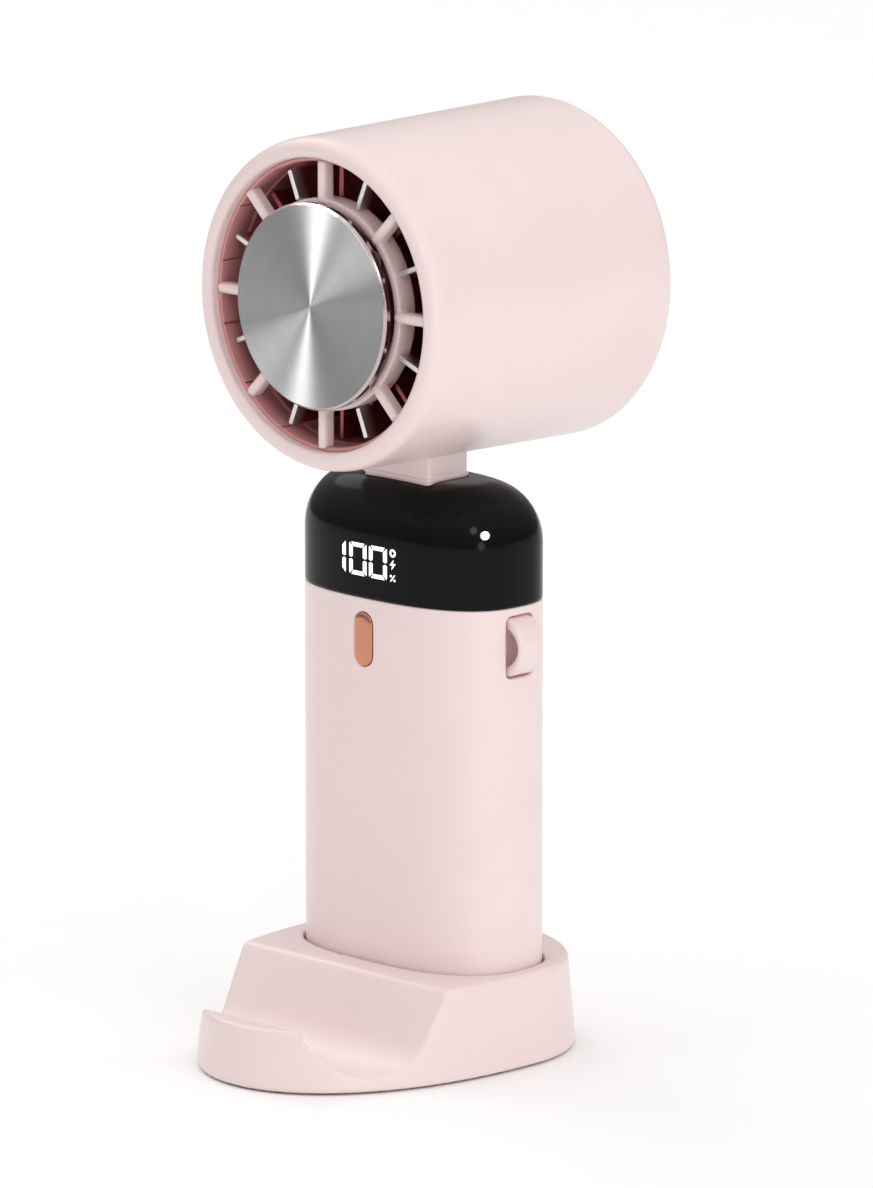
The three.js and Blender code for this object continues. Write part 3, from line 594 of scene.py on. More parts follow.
def make_stage():
    turn, height = 0.771, 0.222  # radians round the object and above the horizon
    distance = 1.5642
    focal_pixels, frame_height, sensor = 8690.0, 1188.0, 36
    left, below = 13.2, 98.3  # how far the aim lies from the picture's middle, in pixels
    aim = Vector((0, 0, 0.064))
    back = Vector((math.sin(turn) * math.cos(height), -math.cos(turn) * math.cos(height), math.sin(height)))
    right = Vector((math.cos(turn), math.sin(turn), 0))
    up = back.cross(right)
    data = bpy.data.cameras.new("camera")
    data.lens = focal_pixels / frame_height * sensor
    data.clip_start, data.clip_end = 0.1, 50
    camera = in_scene("camera", data)
    camera.location = aim + back * distance
    look = -back + right * (left / focal_pixels) + up * (below / focal_pixels)
    camera.rotation_euler = look.to_track_quat("-Z", "Y").to_euler()
    bpy.context.scene.camera = camera

    reach = 6000
    floor = make("floor", *box_part(-reach, reach, -reach, reach, -20.0, -0.05))
    floor.data.materials.append(moulded("floor_pale", (0.96, 0.96, 0.96), 0.7, 0.01))

    world = bpy.data.worlds.new("studio")
    bpy.context.scene.world = world
    world.use_nodes = True
    background = world.node_tree.nodes["Background"]
    background.inputs["Color"].default_value = (1, 0.995, 0.99, 1)
    direction = node(world, "ShaderNodeTexCoord").outputs["Generated"]
    at_horizon, overhead = 0.25, 1.15
    glow = ranged(world, axes_of(world, direction)["Z"], 0, 1, at_horizon, overhead)
    link(world, glow, background.inputs["Strength"])
    bpy.context.scene.view_settings.view_transform = "Standard"
    # Soft far lights: name, the way to it, its width in degrees, and its strength.
    lamps = [
        ("key", (1.6, -0.1, 0.6), 50, 0.66),
        ("top", (-1.0, -0.4, 1.6), 60, 0.3),
        ("left_fill", (-1.6, -0.1, 0.4), 60, 0.15),
    ]
    for name, place, width, strength in lamps:
        sun = add_lamp(name, "SUN", place, (0, 0, 0), angle=math.radians(width), energy=strength)
        sun.visible_glossy = False

    # Round near lights for the highlights: name, place, diameter, watts, and whether only on the plate.
    plate_only = bpy.data.collections.new("lit_by_disc_lights")
    for name, place, size, watts, on_plate in (
        ("glint", (1.15, -1.05, 1.05), 0.4, 2.4, False),
        ("edge_light", (-1.15, 0.25, 1.15), 0.8, 2.0, False),
        ("rim_light", (1.5, -0.8, 0.22), 0.4, 1.8, False),
        ("disc_light", (-0.9, -0.6, 1.3), 0.55, 36, True),
        ("disc_fill", (-0.1, -1.6, 0.9), 1.0, 12, True),
    ):
        lamp = add_lamp(name, "AREA", place, (0, 0, 0.12), shape="DISK", size=size, energy=watts)
        if on_plate:
            lamp.light_linking.receiver_collection = plate_only


# ---- stand
def oval_plate(shape, inset, bottom, top, edge):
    """A flat plate with a rounded edge."""
    profile = arc(inset + edge, bottom + edge, edge, edge, 270, 180, 3)
    profile += arc(inset + edge, top - edge, edge, edge, 180, 90, 3)
    return loft(oval_rings(shape, profile, 144))


def stand_wall(x, y, inset, back_inset):
    half_width, front, back = STAND_HALF_WIDTH - inset, STAND_FRONT - inset, STAND_BACK - back_inset
    return oval_field(x, y, half_width, front, back, STAND_POWER, STAND_FRONT_POWER)


def stand_field(x, y, z):
    rise = z / STAND_TOP
    wall = stand_wall(x, y, STAND_DRAFT * rise, STAND_BACK_DRAFT * rise)
    body = both(both(wall, z - STAND_TOP, 1.0), STAND_BOTTOM - z, 0.8)

    # The trough: an elliptic floor between the lip and the sloping rest, which is tangent to it.
    u, v = (y - TROUGH_Y) / TROUGH_REACH, (z - TROUGH_Z) / TROUGH_DEPTH
    ellipse = (u**2 + v**2 - 1) / (2 * np.hypot(u / TROUGH_REACH, v / TROUGH_DEPTH) + 1e-9)
    touch = math.atan2(-TROUGH_DEPTH, TROUGH_REACH * math.tan(TROUGH_LEAN))
    touch_y = TROUGH_Y + TROUGH_REACH * math.cos(touch)
    touch_z = TROUGH_Z + TROUGH_DEPTH * math.sin(touch)
    ahead = (y - touch_y) * math.sin(TROUGH_LEAN) - (z - touch_z) * math.cos(TROUGH_LEAN)
    lip = both(-ellipse, z - LIP_TOP, 0.9)
    rest = np.maximum(-ellipse, np.minimum(-ahead, z - touch_z))
    body = both(body, np.where(y < TROUGH_Y, lip, rest), 0.7)

    grow = SOCKET_CLEARANCE
    socket = oval_field(x, y, HANDLE_A + grow, HANDLE_B + grow, HANDLE_B + grow, HANDLE_POWER, HANDLE_POWER)
    body = both(body, -np.maximum(socket, SOCKET_FLOOR - z), 0.45)
    recess = stand_wall(x, y, PLATE_SEAT_INSET, PLATE_SEAT_INSET)
    return np.maximum(body, -np.maximum(recess, z - PLATE_SEAT_TOP))


def build_stand():
    shell = make("stand_body", *net(stand_field, STAND_LOW, STAND_HIGH, 0.5))
    dress(shell, "stand", "body_pink", "stand_shell")

    plate = make("stand_base_plate", *oval_plate(stand_oval, 2.2, 0.8, 1.85, 0.2))
    dress(plate, "stand", "inner_pink", "stand_bottom_plate")
    pad = make("stand_foot_pad", *oval_plate(stand_oval, 3.4, 0, 0.6, 0.25))
    dress(pad, "stand", "pad_rubber", "stand_grip_pad")


# ---- handle
SIDES = {"right": (1, 0, 1, 0.0), "back": (0, 1, 1, 0.25), "front": (0, 1, -1, 0.75)}


class HandleWall:
    """The handle's wall as rings of points, with openings set into its faces.

    A side of it is known by the axis along it, the axis out of it with its sign, and the share of a turn
    at which it lies.
    """

    def __init__(self, marks, count=176):
        bottom, top = HANDLE_LOW[2], HANDLE_HIGH[2]
        spaced = np.arange(bottom + 1.6, top - 0.9, 1.1)
        heights = [z for z in spaced if min(abs(z - m) for m in marks) > 0.4]
        heights = sorted(heights + list(marks))
        wall = HANDLE_WALL
        self.profile = [
            *arc(0.6, bottom + 0.6, 0.6, 0.6, 270, 180, 5),
            *[(0, z) for z in heights],
            *arc(0.35, top - 0.35, 0.35, 0.35, 180, 90, 5),
            (wall - 0.2, top),
            (wall, top - 0.2),
            *[(wall, z) for z in reversed(heights)],
            (wall, bottom + 0.2),
            (wall - 0.2, bottom),
        ]
        self.count = count
        rings = oval_rings(handle_oval, self.profile, count)
        points, faces = loft(rings, closed=True)
        self.outside = oval_rings(handle_oval, [(0, 0)], count)[0]
        self.points = [tuple(p) for p in points]
        self.faces = {(n // count, n % count): face for n, face in enumerate(faces)}
        self.added = []

    def border(self, side, inset, centre, reach):
        """Takes away a block of faces and returns the numbers of the points round it."""
        along, _, _, share = SIDES[side]
        levels = sorted(
            (z, n) for n, (i, z) in enumerate(self.profile)
            if i == inset and abs(z - centre[1]) <= reach[1] + 1e-6
        )
        levels = [n for _, n in levels]
        middle = round(share * self.count)
        near = 20  # how many columns to look at on each side of the middle
        columns = [
            c % self.count for c in range(middle - near, middle + near + 1)
            if abs(self.outside[c % self.count][along] - centre[0]) <= reach[0]
        ]
        for a, b in zip(levels, levels[1:]):
            for column in columns[:-1]:
                del self.faces[min(a, b), column]
        loop = [(levels[0], c) for c in columns] + [(n, columns[-1]) for n in levels[1:]]
        loop += [(levels[-1], c) for c in columns[-2::-1]] + [(n, columns[0]) for n in levels[-2:0:-1]]
        return [level * self.count + column for level, column in loop]

    def loop_points(self, side, inset, centre, border, outline, depth):
        """Points on an outline at a depth below the wall, one towards each point of a border."""
        along, out, sign, _ = SIDES[side]
        border_points = np.array([self.points[n] for n in border])
        towards = np.arctan2(border_points[:, 2] - centre[1], border_points[:, along] - centre[0])
        outline = np.array(outline)
        angles = np.arctan2(outline[:, 1], outline[:, 0])
        order = np.argsort(angles)
        ring, angles = outline[order], angles[order]
        ring = np.concatenate([ring[-1:], ring, ring[:1]])
        angles = np.concatenate([angles[-1:] - 2 * math.pi, angles, angles[:1] + 2 * math.pi])
        s = centre[0] + np.interp(towards, angles, ring[:, 0])
        z = centre[1] + np.interp(towards, angles, ring[:, 1])
        half_along = (HANDLE_A, HANDLE_B)[along] - inset
        half_out = (HANDLE_A, HANDLE_B)[out] - inset
        surface = half_out * (1 - (np.abs(s) / half_along) ** HANDLE_POWER) ** (1 / HANDLE_POWER)
        points = np.zeros((len(border), 3))
        points[:, along], points[:, out], points[:, 2] = s, sign * (surface - depth), z
        return points

    def bridge(self, first, second):
        for i in range(len(first)):
            j = (i + 1) % len(first)
            self.added.append((first[i], first[j], second[j], second[i]))

    def add(self, points):
        first = len(self.points)
        self.points += [tuple(p) for p in points]
        return list(range(first, len(self.points)))

    def sink(self, side, inset, centre, reach, outline_of, steps):
        """Opens the wall and leads a skin in through (grow, depth) steps; returns the last loop."""
        loop = border = self.border(side, inset, centre, reach)
        for grow, depth in steps:
            made = self.add(self.loop_points(side, inset, centre, border, outline_of(grow), depth))
            self.bridge(loop, made)
            loop = made
        return loop

    def dent(self, side, inset, centre, reach, outline_of, steps):
        """A blind opening, closed by a floor."""
        loop = self.sink(side, inset, centre, reach, outline_of, steps)
        middle = self.add([np.mean([self.points[n] for n in loop], 0)])[0]
        self.added += [(loop[i - 1], loop[i], middle) for i in range(len(loop))]

    def hole(self, side, centre, reach, outline_of, steps):
        """An opening right through the wall."""
        outer = self.sink(side, 0, centre, reach, outline_of, steps)
        inner = self.sink(side, HANDLE_WALL, centre, reach, outline_of, [(0, 0)])
        self.bridge(outer, inner)

    def build(self, name):
        return make(name, self.points, list(self.faces.values()) + self.added)


def edge_steps(radius, depth, floor_radius=0.0):
    """(grow, depth) steps over a rounded edge, down a wall and round into a floor."""
    quarter = np.radians([0, 22.5, 45, 67.5, 90])
    steps = [(radius * (1 - math.sin(a)), radius * (1 - math.cos(a))) for a in quarter]
    if floor_radius:
        steps += [
            (-floor_radius * (1 - math.cos(a)), depth - floor_radius * (1 - math.sin(a))) for a in quarter
        ]
    else:
        steps.append((0, depth))
    return steps


def middle_height(name):
    low, high = cad(name)
    return (low[2] + high[2]) / 2


def build_handle():
    loop_reach = (POCKET_HALF[0] + 1.3, POCKET_HALF[1] + 0.75)
    badge_reach = (BADGE_HALF[0] + 1.2, BADGE_HALF[1] + 0.9)
    marks = [LOOP_Z + side * loop_reach[1] for side in (-1, 1)]
    marks += [BADGE_CENTRE[1] + side * badge_reach[1] for side in (-1, 1)]
    wall = HandleWall(sorted(marks))

    def pocket(grow):
        return bar_outline(POCKET_HALF[0] + grow, POCKET_HALF[1] + grow, 1.1 + grow)

    def badge_seat(grow):
        grow += 0.15
        return bar_outline(BADGE_HALF[0] + grow, BADGE_HALF[1] + grow, BADGE_HALF[0] + grow - 0.01, 12)

    depth = HANDLE_A - POCKET_FLOOR
    wall.dent("right", 0, (0, LOOP_Z), loop_reach, pocket, edge_steps(0.3, depth, 0.4))
    # Inside the wall, the pocket's back is a box that is larger by the thickness of its own wall.
    cup_reach, cup_wall = (4.7, 7.2), 0.9
    cup_depth = HANDLE_A - HANDLE_WALL - POCKET_FLOOR + 1.2
    wall.dent("right", HANDLE_WALL, (0, LOOP_Z), cup_reach, pocket, [(cup_wall, 0), (cup_wall, cup_depth)])
    wall.dent("front", 0, BADGE_CENTRE, badge_reach, badge_seat, edge_steps(0.12, 0.6))
    for name, radius in BUTTON_RADII.items():
        def round_hole(grow, radius=radius):
            return arc(0, 0, radius + 0.2 + grow, radius + 0.2 + grow, -180, 180, 96)[:-1]

        reach = (radius + 1.2, radius + 1.2)
        centre = (0, middle_height(name))
        wall.hole("back", centre, reach, round_hole, edge_steps(0.25, HANDLE_WALL - 0.3))
    handle = dress(wall.build("handle_body"), "fan", "body_pink", "handle_shell")
    handle.data.materials.append(POCKET_PAINTED_LIGHT)
    # The pocket's faces take the lighter copy: painted light where the loop shades the recess.
    half_y, half_z = POCKET_HALF[0] + 0.4, POCKET_HALF[1] + 0.4
    for face in handle.data.polygons:
        x, y, z = face.center / MM
        if POCKET_FLOOR - 0.1 < x < HANDLE_A - 0.5 and abs(y) < half_y and abs(z - LOOP_Z) < half_z:
            face.material_index = 1
    build_badge()
    build_buttons()


def build_badge():
    """A plain crowned capsule."""
    front = -HANDLE_B - 0.45
    crown, crown_height = 1.4, 0.45
    flank = [(crown - x, crown_height - y) for x, y in arc(0, 0, crown, crown_height, 0, 84, 12)]
    half_width, half_height = BADGE_HALF
    rings = []
    for inset, depth in [(0, 2 * crown_height), (0, crown_height), *flank, (crown + 0.2, 0)]:
        outline = bar_outline(half_width - inset, half_height - inset, half_width - inset - 0.01, 16)
        ring = crosswise_ring(outline, front + depth)
        rings.append(ring + (BADGE_CENTRE[0], 0, BADGE_CENTRE[1]))
    dress(make("badge_plate", *loft(rings)), "fan", "rose_gold", "front_badge")


def build_buttons():
    flange_front = HANDLE_B - HANDLE_WALL - 0.75
    face = HANDLE_B + 0.4
    for name, radius in BUTTON_RADII.items():
        corners = [
            (0, flange_front - 0.3, 0),
            (0.9, flange_front - 0.3, 0.1),
            (0.9, flange_front, 0),
            (radius + 0.9, flange_front, 0.1),
            (radius + 0.9, flange_front + 0.55, 0.1),
            (radius, flange_front + 0.55, 0.1),
            (radius, face, 0.35),
            (radius - 0.9, face, 0.2),
            (radius - 1.15, face - 0.22, 0.2),
            (radius - 1.5, face - 0.22, 0.2),
            (radius - 1.75, face - 0.1, 0.2),
            (0, face - 0.25, 0),
        ]
        points, faces = lathe(rounded(corners, 4), 96)
        points = np.array(points) + (0, 0, middle_height(name) - HEAD_Z)
        dress(make(name + "_key", points, faces), name, "body_pink", name)


def build_lanyard_loop():
    """A bowed bar with both feet in the pocket."""
    bow = (LOOP_HIGH[2] - LOOP_LOW[2]) / 2
    foot = LOOP_LOW[0]
    half_width = LOOP_HIGH[1]
    outer = [(foot, -bow)] + arc(HANDLE_A - 1.4, 0, 4.3, bow, -90, 90, 40) + [(foot, bow)]
    inner_x, inner_reach = HANDLE_A - 3, 4.7
    inner = arc(inner_x, 0, inner_reach, bow - 1.6, -90, 90, 40)
    inner = [(foot, inner[0][1])] + inner + [(foot, inner[-1][1])]
    rings = []
    for (ox, oz), (ix, iz) in zip(outer, inner):
        middle = np.array(((ox + ix) / 2, 0, (oz + iz) / 2))
        half_thick = math.hypot(ox - ix, oz - iz) / 2
        across = np.array(((ox - ix) / 2, 0, (oz - iz) / 2)) / half_thick
        outline = bar_outline(half_thick, half_width, 0.6)
        rings.append(np.array([middle + across * a + np.array((0, b, LOOP_Z)) for a, b in outline]))
    dress(make("lanyard_bar", *loft(rings)), "fan", "body_pink", "lanyard_loop")


def round_stack(levels, x, y, count=48):
    """Rings of points round an upright axis, one for each (radius, z)."""
    turns = np.arange(count) * 2 * math.pi / count
    return [
        np.stack([x + r * np.cos(turns), y + r * np.sin(turns), np.full(count, z)], 1) for r, z in levels
    ]


def build_handle_end():
    low, high = cad("handle_end_cap")
    plate = make("end_plate", *oval_plate(handle_oval, HANDLE_WALL + 0.2, low[2], high[2], 0.2))
    slot = bar_outline(4.7, 1.85, 1.8)
    combine(plate, make("slot_tool", *loft([upright_ring(slot, z) for z in (0, 20)])))
    for name in ("end_screw_1", "end_screw_2"):
        screw_low, screw_high = cad(name)
        x = (screw_low[0] + screw_high[0]) / 2
        bottom = screw_low[2]
        seat = bottom + 0.8
        bore = loft(round_stack([(2.2, 0), (2.2, seat), (1.15, seat), (1.15, 20)], x, 0))
        combine(plate, make("bore_tool", *bore))
        levels = [(1.2, bottom), (1.6, bottom + 0.08), (1.85, bottom + 0.3), (1.9, bottom + 0.75)]
        levels += [(0.9, seat), (0.9, screw_high[2])]
        screw = make(name + "_steel", *loft(round_stack(levels, x, 0)))
        for half_x, half_y in ((1.0, 0.22), (0.22, 1.0)):
            cross = box_part(x - half_x, x + half_x, -half_y, half_y, 0, bottom + 0.5)
            combine(screw, make("cross_tool", *cross))
        dress(screw, "fan", "steel", name)
    dress(plate, "fan", "body_pink", "handle_end_cap")


# ---- display cap
def shoulder(inset, steps):
    """(inset, z) up the cap's rounded shoulder."""
    rise = CAP_RISE - inset
    top = CAP_TOP - inset
    return [
        (inset + CAP_SHOULDER - along, top - rise + up)
        for along, up in arc(0, 0, CAP_SHOULDER, rise, 0, 90, steps)
    ]


def light_frame():
    """The status light's place on the cap's surface, and the way out of the surface there."""
    up = (LIGHT_Z - (CAP_TOP - CAP_RISE)) / CAP_RISE
    along = math.sqrt(1 - up * up)
    inset = CAP_SHOULDER * (1 - along)
    heading = np.array((math.cos(LIGHT_HEADING), math.sin(LIGHT_HEADING)))
    # The surface is found by halving a stretch of the heading that crosses it.
    start = np.array(LIGHT_NEAR) - 3 * heading
    low, high = 0.0, 8.0
    for _ in range(40):
        middle = (low + high) / 2
        x, y = np.abs(start + middle * heading)
        sign = (x / (HANDLE_A - inset)) ** HANDLE_POWER + (y / (HANDLE_B - inset)) ** HANDLE_POWER - 1
        low, high = (low, middle) if sign > 0 else (middle, high)
    place = np.array((*(start + low * heading), LIGHT_Z))
    out = np.array((*(heading * along / CAP_SHOULDER), up / CAP_RISE))
    return place, out / np.linalg.norm(out)


def light_stack(levels, count=40):
    """Rings of points round the status light's axis, one for each (radius, height over the surface)."""
    place, out = light_frame()
    side = np.cross((0, 0, 1), out)
    side /= np.linalg.norm(side)
    up = np.cross(out, side)
    turns = np.arange(count)[:, None] * 2 * math.pi / count
    return [place + r * (np.cos(turns) * side + np.sin(turns) * up) + h * out for r, h in levels]


def neck_outline(grow, radius):
    """The neck's outline in X and Y."""
    middle = (NECK_FRONT + NECK_BACK) / 2
    half_depth = (NECK_BACK - NECK_FRONT) / 2
    return [(x, middle + y) for x, y in bar_outline(NECK_HALF_WIDTH + grow, half_depth + grow, radius)]


def build_cap():
    bottom = CAP_BOTTOM
    heights = np.linspace(bottom + 0.6, CAP_TOP - CAP_RISE, 12)[:-1]
    profile = list(reversed(shoulder(CAP_WALL, 12))) + [(CAP_WALL, bottom + 0.2), (CAP_WALL - 0.2, bottom)]
    profile += arc(0.3, bottom + 0.3, 0.3, 0.3, 270, 180, 5) + [(0, z) for z in heights] + shoulder(0, 36)
    cap = make("cap_body", *loft(oval_rings(handle_oval, profile, 224)))
    hole = neck_outline(0.3, 1.1)
    combine(cap, make("neck_tool", *loft([upright_ring(hole, z) for z in (CAP_TOP - 9, CAP_TOP + 5)])))
    combine(cap, make("light_tool", *loft(light_stack([(0.95, -1.0), (0.95, 2.0)]))))
    dress(cap, "fan", "cap_black", "display_cap", sharp=50)
    lens = light_stack([(0.78, -0.8), (0.78, -0.06), (0.7, 0.02), (0.4, 0.07), (0.1, 0.08)])
    dress(make("status_lens", *loft(lens)), "fan", "light_white", "status_light")
    build_digits()


def cap_ring(outline, height):
    """An outline in X and Z laid on the cap's front, at a height over it."""
    x, z = np.array(outline).T
    front = -HANDLE_B * (1 - (np.abs(x) / HANDLE_A) ** HANDLE_POWER) ** (1 / HANDLE_POWER)
    return np.stack([x, front - height, z], 1)


def on_cap(outline):
    """A thin tile on the cap's front."""
    return loft([cap_ring(outline, TILE_PROUD), cap_ring(outline, -TILE_SUNK)])


def segments(left, bottom, width, height, names):
    """The named bars of a seven-bar figure, with mitred ends."""
    wide, tall, gap = 0.92, 0.78, 0.13
    right, top, middle = left + width, bottom + height, bottom + height / 2
    notch = 0.42  # by which the corner bars are cut off at the corner
    level_share = 0.94  # how much of their width the level bars keep
    bars = {
        "a": [(left + notch, top), (right - notch, top), (right - wide, top - tall),
              (left + wide, top - tall)],
        "d": [(left + notch, bottom), (left + wide, bottom + tall), (right - wide, bottom + tall),
              (right - notch, bottom)],
    }
    for name, x, out in (("f", left, 1), ("b", right, -1)):
        bars[name] = [
            (x, top - notch), (x + out * notch * 0.3, top - notch * 0.3),
            (x + out * wide, top - tall - gap), (x + out * wide, middle + 0.35),
            (x + out * wide / 2, middle + gap), (x, middle + 0.3),
        ]
    for name, mirrored in (("e", "f"), ("c", "b")):
        bars[name] = [(px, 2 * middle - pz) for px, pz in bars[mirrored]]
    middle_x = (left + right) / 2
    for name in ("a", "d"):
        bars[name] = [(middle_x + (px - middle_x) * level_share, pz) for px, pz in bars[name]]
    return [on_cap(bars[name]) for name in names]


def build_digits():
    """A charge read-out of one hundred, with a ring, a bolt and a percent sign beside it."""
    bottom, width, height = 87.4, 4.4, 5.9
    parts = []
    for left, names in ((-9.9, "bc"), (-4.6, "abcdef"), (0.4, "abcdef")):
        parts += segments(left, bottom, width, height, names)
    x, ring_z = 6.15, bottom + height - 0.75
    outer = arc(x, ring_z, 0.72, 0.75, 0, 360, 28)[:-1]
    inner = arc(x, ring_z, 0.33, 0.35, 0, 360, 28)[:-1]
    ring = [cap_ring(outline, TILE_PROUD) for outline in (outer, inner)]
    ring += [cap_ring(outline, -TILE_SUNK) for outline in (inner, outer)]
    parts.append(loft(ring, closed=True))
    z = bottom + height / 2 + 0.1
    bolt = [(0.25, 1.0), (-0.72, -0.12), (-0.08, -0.12), (-0.3, -1.0), (0.72, 0.22), (0.06, 0.22)]
    parts.append(on_cap([(x + right, z + up) for right, up in bolt]))
    z = bottom + 0.6
    stroke = [(-0.62, -0.6), (-0.3, -0.6), (0.62, 0.6), (0.3, 0.6)]
    parts.append(on_cap([(x + right, z + up) for right, up in stroke]))
    for side in (-1, 1):
        parts.append(on_cap(arc(x - side * 0.42, z + side * 0.38, 0.24, 0.24, 0, 360, 16)[:-1]))
    dress(make("readout_digits", *merged(parts)), "fan", "light_white")


# ---- head
def build_head_shell():
    edge = 2.5
    profile = [
        (BORE_R, HEAD_BACK - 0.8),
        (BORE_R, -21),
        (MOUTH_R, -21),
        *arc(RIM_R, HEAD_FRONT + 1, RIM_R - MOUTH_R, 1, 180, 270, 8)[:-1],
        *arc(RIM_R, HEAD_FRONT + 3, HEAD_R_FRONT - RIM_R, 3, 270, 360, 14),
        *arc(HEAD_R_BACK - edge, HEAD_BACK - edge, edge, edge, 0, 90, 10),
        (BORE_R + 0.3, HEAD_BACK),
    ]
    drum = make("head_drum", *lathe(profile, 240))
    roof = HEAD_Z - 28.5
    foot = CAP_TOP
    neck_levels = [
        (-0.3, NECK_BOTTOM), (0, NECK_BOTTOM + 0.3), (0, foot + 0.1), (0.22, foot + 0.18),
        (0.22, foot + 0.55), (0, foot + 0.7), (0, roof),
    ]
    neck = make("neck", *loft([upright_ring(neck_outline(grow, 0.8), z) for grow, z in neck_levels]))
    combine(drum, neck, "UNION")
    dress(drum, "fan", "body_pink", "head_shell")


def ring_field(radius, y, inner, outer, front, back, edge):
    """A ring round the head's axis."""
    across = both(inner - radius, radius - outer, edge)
    return both(both(across, front - y, edge), y - back, edge)


def spokes(x, z, count):
    """How far a point is from the nearest of several spokes, which start upright."""
    sector = 2 * math.pi / count
    angle = np.arctan2(x, z)
    from_spoke = (angle + sector / 2) % sector - sector / 2
    return np.abs(np.hypot(x, z) * np.sin(from_spoke))


def front_grille_field(x, y, z):
    """The hub ring with a flange inside it, and the ribs out to the duct."""
    z = z - HEAD_Z
    radius = np.hypot(x, z)
    hub = ring_field(radius, y, HUB_INNER, HUB_OUTER, HUB_FRONT, HUB_BACK, 0.35)
    flange = ring_field(radius, y, 15, 17.8, -22.6, HUB_BACK, 0.2)
    rib = both(both(spokes(x, z, RIBS) - RIB_HALF_WIDTH, RIB_FRONT - y, 0.85), y - RIB_BACK, 0.2)
    rib = both(rib, both(18.2 - radius, radius - 25.7))
    return either(np.minimum(hub, flange), rib, 0.5)


def rear_grille_field(x, y, z):
    """The guard: a hoop in the drum's bore, two rings, a domed middle, and bars."""
    z = z - HEAD_Z
    radius = np.hypot(x, z)
    hoop = ring_field(radius, y, 25.4, 27.6, 26.4, 31.4, 0.5)
    rings = np.minimum(*[
        ring_field(radius, y, inner, outer, GUARD_RING_FRONT, GUARD_RING_BACK, 0.45)
        for inner, outer in GUARD_RINGS
    ])
    middle = both(both(radius - 9.4, 27 - y, 0.4), y - 31.3 + radius**2 / 120, 0.9)
    bar = both(both(spokes(x, z, GUARD_BARS) - 0.6, 27.6 - y, 0.3), y - 30, 0.5)
    bar = both(bar, both(8 - radius, radius - 26))
    return either(either(np.minimum(hoop, rings), middle), bar, 0.4)


def build_grilles():
    low, high = cad("front_grille")
    grille = make("front_grille_ring", *net(front_grille_field, low, high, 0.34))
    dress(grille, "fan", "body_pink", "front_grille")
    low, high = cad("rear_grille")
    dress(make("rear_guard", *net(rear_grille_field, low, high, 0.42)), "fan", "body_pink", "rear_grille")


def build_plate():
    front, bevel = PLATE_FRONT, 0.45
    rim_back, boss_r, boss_back = -27.2, 14.6, -24.4
    corners = [
        (0, front, 0), (PLATE_R - bevel, front, 0.08), (PLATE_R, front + bevel, 0.12),
        (PLATE_R, rim_back, 0.12), (boss_r, rim_back, 0.1), (boss_r, boss_back, 0.2), (0, boss_back, 0),
    ]
    plate = make("cold_disc", *lathe(rounded(corners, 3), 240))
    dress(plate, "fan", "plate_aluminium", "cold_plate")
    bpy.data.collections["lit_by_disc_lights"].objects.link(plate)
    # The plate's edge and back take the pink-tinted metal with the painted reflection.
    plate.data.materials.append(POLISHED_PAINTED_REFLECTION)
    for face in plate.data.polygons:
        flat_front = face.normal.y < -0.95 and face.center.y < (front + 0.2) * MM
        face.material_index = 0 if flat_front else 1


def build_heat_sink():
    """A disc with long fins between the ribs and short ones behind them."""
    block = [(0, BLOCK_FRONT, 0), (BLOCK_R, BLOCK_FRONT, 0.3)]
    block += [(BLOCK_R, BLOCK_BACK, 0.3), (0, BLOCK_BACK, 0)]
    base = make("fin_block", *lathe(rounded(block, 3), 96))
    foot, root = 10, 19.2  # radii of a fin's back corner, and of a long fin's front one
    back = [(FIN_TIP, -9), (foot, -9), (foot, -18), (14, BLOCK_FRONT)]
    long_fin = [*back, (root, BLOCK_FRONT), (root, FIN_FRONT), (FIN_TIP, FIN_FRONT)]
    short_fin = [*back, (FIN_TIP, BLOCK_FRONT)]
    fins = []
    for outline, start in ((long_fin, 180 / RIBS), (short_fin, 0)):
        sides = (-FIN_HALF_WIDTH, FIN_HALF_WIDTH)
        rings = [np.array([(x, y, HEAD_Z + r) for r, y in outline]) for x in sides]
        fins.append(repeated(loft(rings), RIBS, start))
    combine(base, make("fins", *merged(fins)), "UNION")
    soften(base, 0.12)
    dress(base, "fan", "fin_aluminium", "heat_sink")


def vane(root, tip, y0, y1, lean, thickness, spans=8, chords=12):
    """A blade from root to tip radius, thin at both edges, that leans as it goes back."""
    rings = []
    for i in range(spans + 1):
        radius = root + (tip - root) * i / spans
        ring = []
        for side in (-1, 1):
            for k in range(chords + 1):
                share = k / chords if side < 0 else 1 - k / chords
                curve = share + 0.35 * share * (1 - share)
                thick = thickness * (0.4 + 2.4 * share * (1 - share))
                turn = lean * curve + side * thick / (2 * radius)
                y = y0 + (y1 - y0) * share
                ring.append((radius * math.sin(turn), y, HEAD_Z + radius * math.cos(turn)))
        rings.append(np.array(ring))
    return loft(rings)


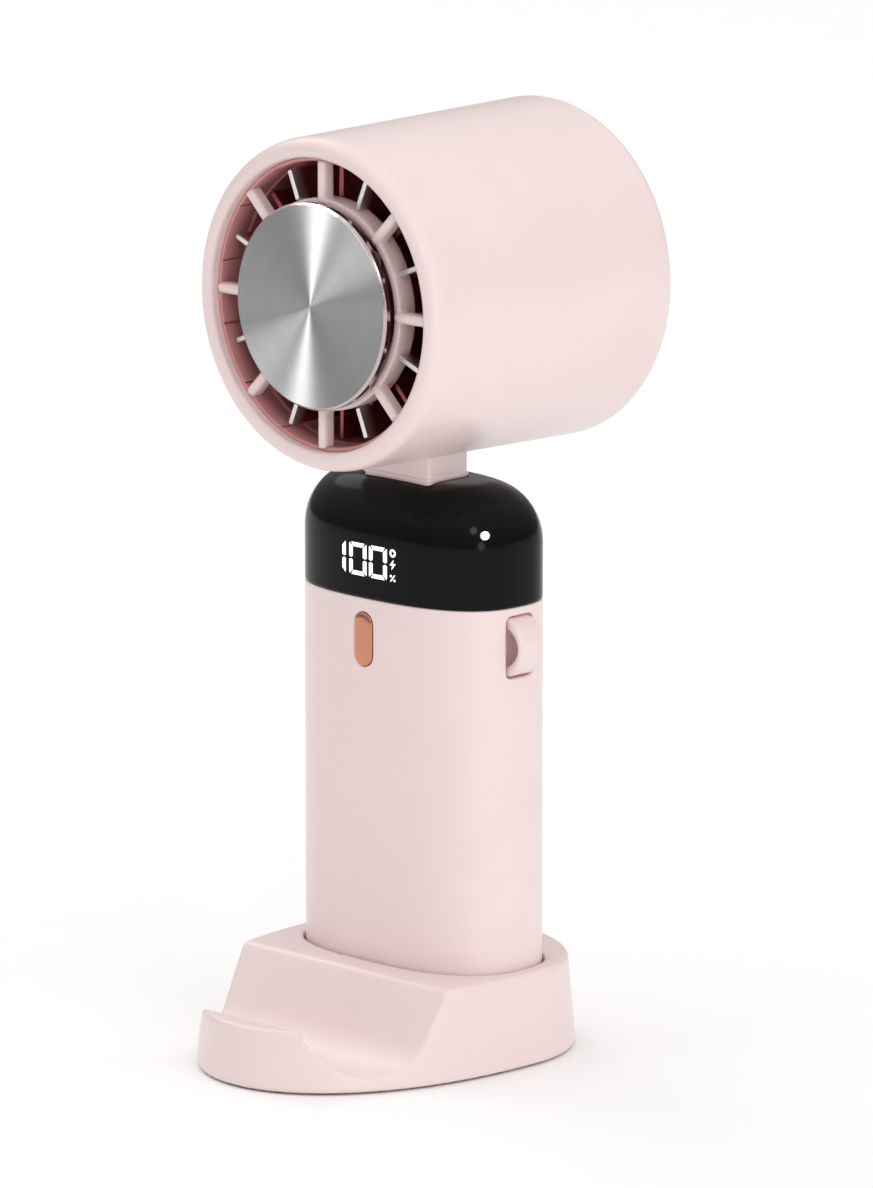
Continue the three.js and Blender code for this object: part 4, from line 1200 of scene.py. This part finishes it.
def build_rotor():
    hub_corners = [
        (0, -6.5, 0), (7.5, -6.5, 2), (13, -4, 3), (13, 8.5, 0.3), (11.7, 8.5, 0.2), (11.7, -3.3, 0),
        (1.7, -3.3, 0), (1.7, -1.6, 0), (1.15, -1.6, 0), (1.15, -5.2, 0), (0, -5.2, 0),
    ]
    rotor = make("impeller_blades", *lathe(rounded(hub_corners, 6), 96))
    blade = vane(12.6, 25, -4.5, 7.5, 0.55, 0.9)
    combine(rotor, make("blades", *repeated(blade, BLADES)), "UNION")
    dress(rotor, "impeller", "inner_pink", "impeller")
    # The rotor takes the copy of the pink that carries painted shade.
    rotor.data.materials[0] = PAINTED_SHADE_PINK


def build_motor_mount():
    cup_corners = [
        (3, -1.4, 0), (4.2, -1.4, 0), (4.2, 11.6, 0), (12.4, 11.6, 0), (13, 12.2, 0.3), (13, 18.5, 2.2),
        (0, 18.5, 0), (0, 14, 0), (3, 14, 0),
    ]
    mount = make("motor_cradle", *lathe(rounded(cup_corners, 6), 96))
    hoop = lathe(rounded([(24.2, 12, 0.3), (25.3, 12, 0.3), (25.3, 17.5, 0.3), (24.2, 17.5, 0.3)], 3), 120)
    combine(mount, make("hoop", *hoop), "UNION")
    strut = vane(12.6, 24.6, 12.6, 17, -0.3, 1.1)
    combine(mount, make("struts", *repeated(strut, STRUTS)), "UNION")
    dress(mount, "fan", "inner_pink", "motor_mount")
    # The mount takes the copy of the pink that carries painted shade.
    mount.data.materials[0] = PAINTED_SHADE_PINK


def build_duct():
    corners = [
        (25.5, -25.5, 0.3), (26.15, -25.5, 0.1), (26.15, -21.1, 0), (27.5, -20.9, 0), (27.5, 26, 0.2),
        (25.6, 26, 0.4), (25.6, -20.4, 0.1), (25.5, -20.1, 0.1),
    ]
    liner = make("duct_tube", *lathe(rounded(corners, 3), 200))
    slot = box_part(-0.2, 0.2, -25.4, -19.6, HEAD_Z + 24.5, HEAD_Z + 26.0)
    first = -90 + 11  # the left side, a little above the middle
    combine(liner, make("slots", *repeated(slot, DUCT_SLOTS, first)))
    dress(liner, "fan", "inner_pink", "duct_liner")


def dress_frame_nodes():
    """Gives every CAD node that still shows its material from the record."""
    slots = {part["node"]: part["material_slot"] for part in frame["record"]["subparts"]}
    for name, part in frame["nodes"].items():
        part.data.materials.clear()
        part.data.materials.append(LOOKS[slots[name]])


make_stage()
build_stand()
build_handle()
build_lanyard_loop()
build_handle_end()
build_cap()
build_head_shell()
build_grilles()
build_plate()
build_heat_sink()
build_rotor()
build_motor_mount()
build_duct()
dress_frame_nodes()
